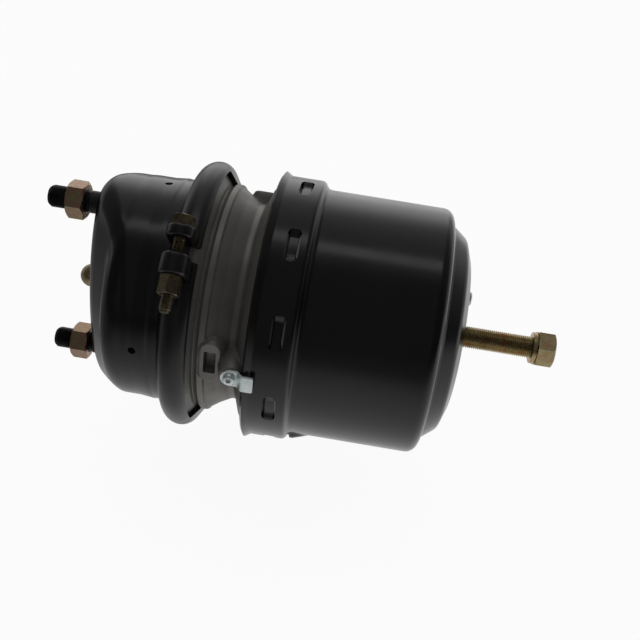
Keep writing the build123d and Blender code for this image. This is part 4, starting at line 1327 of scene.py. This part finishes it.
@dataclass
class MovingRods(SubAssembly):
    """The release bolt with its collar and nut, and the push rod with its ball end."""

    start: float = 185.9
    collar_start: float = 317.0
    collar_end: float = 320.6
    hexagon_end: float = 333.2

    def build(self) -> None:
        """Makes the sub-assembly's pieces."""
        zinc = self.finishes.yellow_zinc
        start, end = self.collar_start, self.collar_end
        length = start - self.start
        bolt = screw("release_rod", [(0, 0), (0, 7.0), (1, 8.0), (60, 8.0), (61, 7.6)],
                     (61.0, length + 0.6, 7.95, STUD_PITCH, 0.9), [(length + 1.0, 7.0), (length + 1.0, 0)])
        self.seat(placed(bolt, along_x(self.start)), zinc, "yellow_zinc", "release_bolt", body=Body.BOLT)
        collar = turned_piece("release_washer", [
            (start, 0, 0), (start, 11.5, 0.7), (end, 11.5, 0.7), (end, 0, 0)], 128, 0.5)
        self.seat(collar, zinc, "yellow_zinc", "release_collar", body=Body.BOLT)
        nut = hexagon_piece("release_hexagon", 24.0, self.hexagon_end - end, 0, (False, True), RELEASE_NUT_TURN)
        self.seat(placed(nut, along_x(end)), zinc, "yellow_zinc", "release_nut", body=Body.BOLT)
        t = np.linspace(0, np.pi / 2, 20)
        front, radius, plate = -17.8, 8.5, 76.8
        ball = np.stack([front + radius - radius * np.cos(t), radius * np.sin(t)], axis=1)
        line = np.vstack([ball, [(plate - 0.6, radius), (plate, radius - 0.6), (plate, 0)]])
        angles = np.radians(np.linspace(0, 360, 96, endpoint=False))
        rod = grid_piece("push_rod_bar", around_x(*spread(line, angles)))
        self.seat(rod, zinc, "yellow_zinc", "push_rod", body=Body.ROD)


# ---- pieces inside


@dataclass
class InnerPieces(SubAssembly):
    """The pieces inside the chambers: the frame's own solids, dressed, and copies of the soft ones."""

    def build(self) -> None:
        """Dresses the frame's solids and puts welded, dressed copies in place of the soft ones."""
        finish = self.finishes
        for node, material in {
            "tube_bush": finish.acetal, "tube_seal": finish.rubber, "housing_seal": finish.rubber,
            "push_plate": finish.drawn_steel, "spring_piston": finish.drawn_steel, "piston_seal": finish.rubber,
            "piston_guide_ring": finish.acetal, "piston_tube": finish.drawn_steel, "tube_pad": finish.acetal,
            "thrust_collar": finish.yellow_zinc,
        }.items():
            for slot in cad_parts[node].material_slots:
                slot.material = material
        self.stretch("power_spring", "main_spring_coil", finish.spring_paint, "spring_paint", 255.0, 199.5)
        self.stretch("return_spring", "return_spring_coil", finish.spring_paint, "spring_paint", 4.0, 76.5)
        self.stretch("service_diaphragm", "diaphragm_sheet", finish.rubber, "black_rubber", 76.1, 82.0)

    def stretch(self, node: str, name: str, material: Material, slot: str, fixed: float,
                moving: float) -> None:
        """Copies a soft solid, welds and dresses the copy, and hides the frame's node.

        Args:
            node: the frame's node.
            name: the copy's name.
            material: its finish.
            slot: the record's material slot; not used.
            fixed: the station that stays with the chamber; not used.
            moving: the station that goes with the piston; not used.
        """
        piece = linked(name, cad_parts[node].data.copy())
        merge_doubles(piece)
        dress(piece, material)
        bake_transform(piece)
        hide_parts(node)
        LOG.info("%s blends from chamber to piston", name)


def merge_doubles(piece: Piece) -> None:
    """Welds a mesh's loose triangles and shades it smooth between its sharp edges."""
    mesh = bmesh.new()
    mesh.from_mesh(piece.data)
    bmesh.ops.remove_doubles(mesh, verts=mesh.verts, dist=MERGE_DISTANCE)
    mesh.to_mesh(piece.data)
    mesh.free()
    piece.data.shade_smooth()
    piece.data.set_sharp_from_angle(angle=SHARP_EDGE)


# ---- studio


@dataclass
class Studio:
    """The camera, the pale floor and the soft light.

    A row of floor_fades is an axis, two places along it in metres, and the floor's mirrored level at
    each. A row of levels is an angle round the X axis in degrees and the surround's level there. Its
    peak is the ramp's white, and past the side limits it drops to the side level.
    """

    finishes: Finishes
    lens: float = 50.625
    floor_level: float = -0.15
    floor_white: float = 0.92
    floor_fades: tuple[tuple[str, float, float, float, float], ...] = (
        ("Y", -0.9, 0.2, 0.12, 0.85), ("X", -0.4, 0.0, 0.25, 1.0))
    plain_level: float = 0.7
    peak: float = 1.2
    side_level: float = 0.5
    side_shift: float = 0.065
    side_limits: Pair = (0.22, 0.45)
    levels: tuple[Pair, ...] = (
        (-180, 0.8), (-110, 0.9), (-92, 1.15), (-64, 1.15), (-50, 0.6), (-42, 0.42), (-14, 0.26), (8, 0.2),
        (16, 0.09), (92, 0.08), (115, 0.3), (180, 0.9))

    def build(self) -> None:
        """Makes the camera, the floor, the world and the lamp."""
        self.camera()
        self.floor()
        self.world()
        self.lamp()

    def camera(self) -> None:
        """Places the camera at a fixed viewpoint in front of the clamp's side."""
        data = bpy.data.cameras.new("camera")
        data.lens, data.sensor_width = self.lens, 36.0
        data.clip_start, data.clip_end = 0.01, 20.0
        camera = linked("camera", data)
        right = Vector((0.98596, 0.118499, 0.117648))
        up = Vector((-0.162872, 0.527115, 0.834038))
        turn = Matrix((right, up, right.cross(up))).transposed().to_4x4()
        camera.matrix_world = Matrix.Translation((0.18689, -0.55884, 0.35174)) @ turn
        bpy.context.scene.camera = camera

    def floor(self) -> None:
        """A wide pale floor under the lowest point of the chamber."""
        bpy.ops.mesh.primitive_plane_add(size=12.0, location=(0.15, 0.0, self.floor_level))
        floor = bpy.context.object
        floor.name = "studio_floor"
        material = self.finishes.floor
        tree = material.node_tree
        output = next(node for node in tree.nodes if node.bl_idname == "ShaderNodeOutputMaterial")
        shader = output.inputs["Surface"].links[0].from_socket
        rays = add_node(material, "LightPath").outputs
        white = add_node(material, "Emission", {"Color": (1, 1, 1, 1), "Strength": 1.0})
        share = add_node(material, "Math", {"operation": "MULTIPLY", 1: self.floor_white},
                         in_0=rays["Is Camera Ray"])
        seen = add_node(material, "MixShader", in_0=share, in_1=shader, in_2=white)
        axes = add_node(material, "SeparateXYZ", Vector=add_node(material, "TexCoord").outputs["Object"])
        fades = [add_node(material, "MapRange", {
            "interpolation_type": "SMOOTHSTEP", "From Min": near, "From Max": far, "To Min": low,
            "To Max": high}, Value=axes.outputs[axis]) for axis, near, far, low, high in self.floor_fades]
        level = add_node(material, "Math", {"operation": "MULTIPLY"}, in_0=fades[0], in_1=fades[1])
        mirrored = add_node(material, "Emission", {"Color": (1, 1, 1, 1)}, Strength=level)
        mixed = add_node(material, "MixShader", in_0=rays["Is Glossy Ray"], in_1=seen, in_2=mirrored)
        tree.links.new(mixed.outputs[0], output.inputs["Surface"])
        dress(floor, material)

    def world(self) -> None:
        """A surround that is white behind the chamber, pale above it and dark on the camera's side.

        What the surfaces mirror is read from the levels at the angle of the direction round the X axis,
        and falls off to both sides. Matt surfaces see one plain level all round.
        """
        world = bpy.data.worlds.new("studio")
        bpy.context.scene.world = world
        world.use_nodes = True
        world.node_tree.nodes.clear()
        axes = add_node(world, "SeparateXYZ", Vector=add_node(world, "TexCoord").outputs["Generated"])
        front = add_node(world, "Math", {"operation": "MULTIPLY", 1: -1.0}, in_0=axes.outputs["Y"])
        angle = add_node(world, "Math", {"operation": "ARCTAN2"}, in_0=front, in_1=axes.outputs["Z"])
        share = add_node(world, "MapRange", {"From Min": -math.pi, "From Max": math.pi}, Value=angle)
        ramp = add_node(world, "ValToRGB", in_0=share)
        steps = ramp.color_ramp.elements
        steps.remove(steps[-1])
        for number, (turn, level) in enumerate(self.levels):
            step = steps[0] if number == 0 else steps.new((turn + 180) / 360)
            step.color = (*[level / self.peak] * 3, 1)
        shifted = add_node(world, "Math", {"operation": "ADD", 1: self.side_shift}, in_0=axes.outputs["X"])
        aside = add_node(world, "Math", {"operation": "ABSOLUTE"}, in_0=shifted)
        side = add_node(world, "MapRange", {
            "interpolation_type": "SMOOTHSTEP", "From Min": self.side_limits[0],
            "From Max": self.side_limits[1], "To Min": self.peak, "To Max": self.side_level}, Value=aside)
        mirrored = add_node(world, "Math", {"operation": "MULTIPLY"}, in_0=ramp, in_1=side)
        rays = add_node(world, "LightPath").outputs
        level = add_node(world, "Mix", {"B": self.plain_level}, Factor=rays["Is Diffuse Ray"], A=mirrored)
        shade = add_node(world, "Background", {"Color": (1, 1, 1, 1)}, Strength=level)
        white = add_node(world, "Background", {"Color": (1, 1, 1, 1), "Strength": 1.0})
        mixed = add_node(world, "MixShader", in_0=rays["Is Camera Ray"], in_1=shade, in_2=white)
        add_node(world, "OutputWorld", Surface=mixed)

    def lamp(self) -> None:
        """A soft rectangular lamp over the chamber that faces the origin, in metres and watts."""
        data = bpy.data.lights.new("top_softbox", "AREA")
        data.shape, data.size, data.size_y, data.energy = "RECTANGLE", 0.86, 0.15, 0.34
        place = Vector((0.0, 0.0, 0.95))
        turn = place.to_track_quat("Z", "Y").to_matrix().to_4x4()
        linked("top_softbox", data).matrix_world = Matrix.Translation(place) @ turn


def main() -> None:
    """Builds the sub-assemblies in order."""
    logging.basicConfig(level=logging.INFO, format="%(name)s: %(message)s")
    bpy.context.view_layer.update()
    finishes = Finishes()
    for assembly in (ServiceHousing, ClampRing, FlangeCasting, SpringHousing, LockClip, MovingRods,
                     InnerPieces):
        assembly(finishes).build()
    Studio(finishes).build()
    bpy.context.scene.view_settings.view_transform = "Standard"


if __name__ == "__main__":
    main()
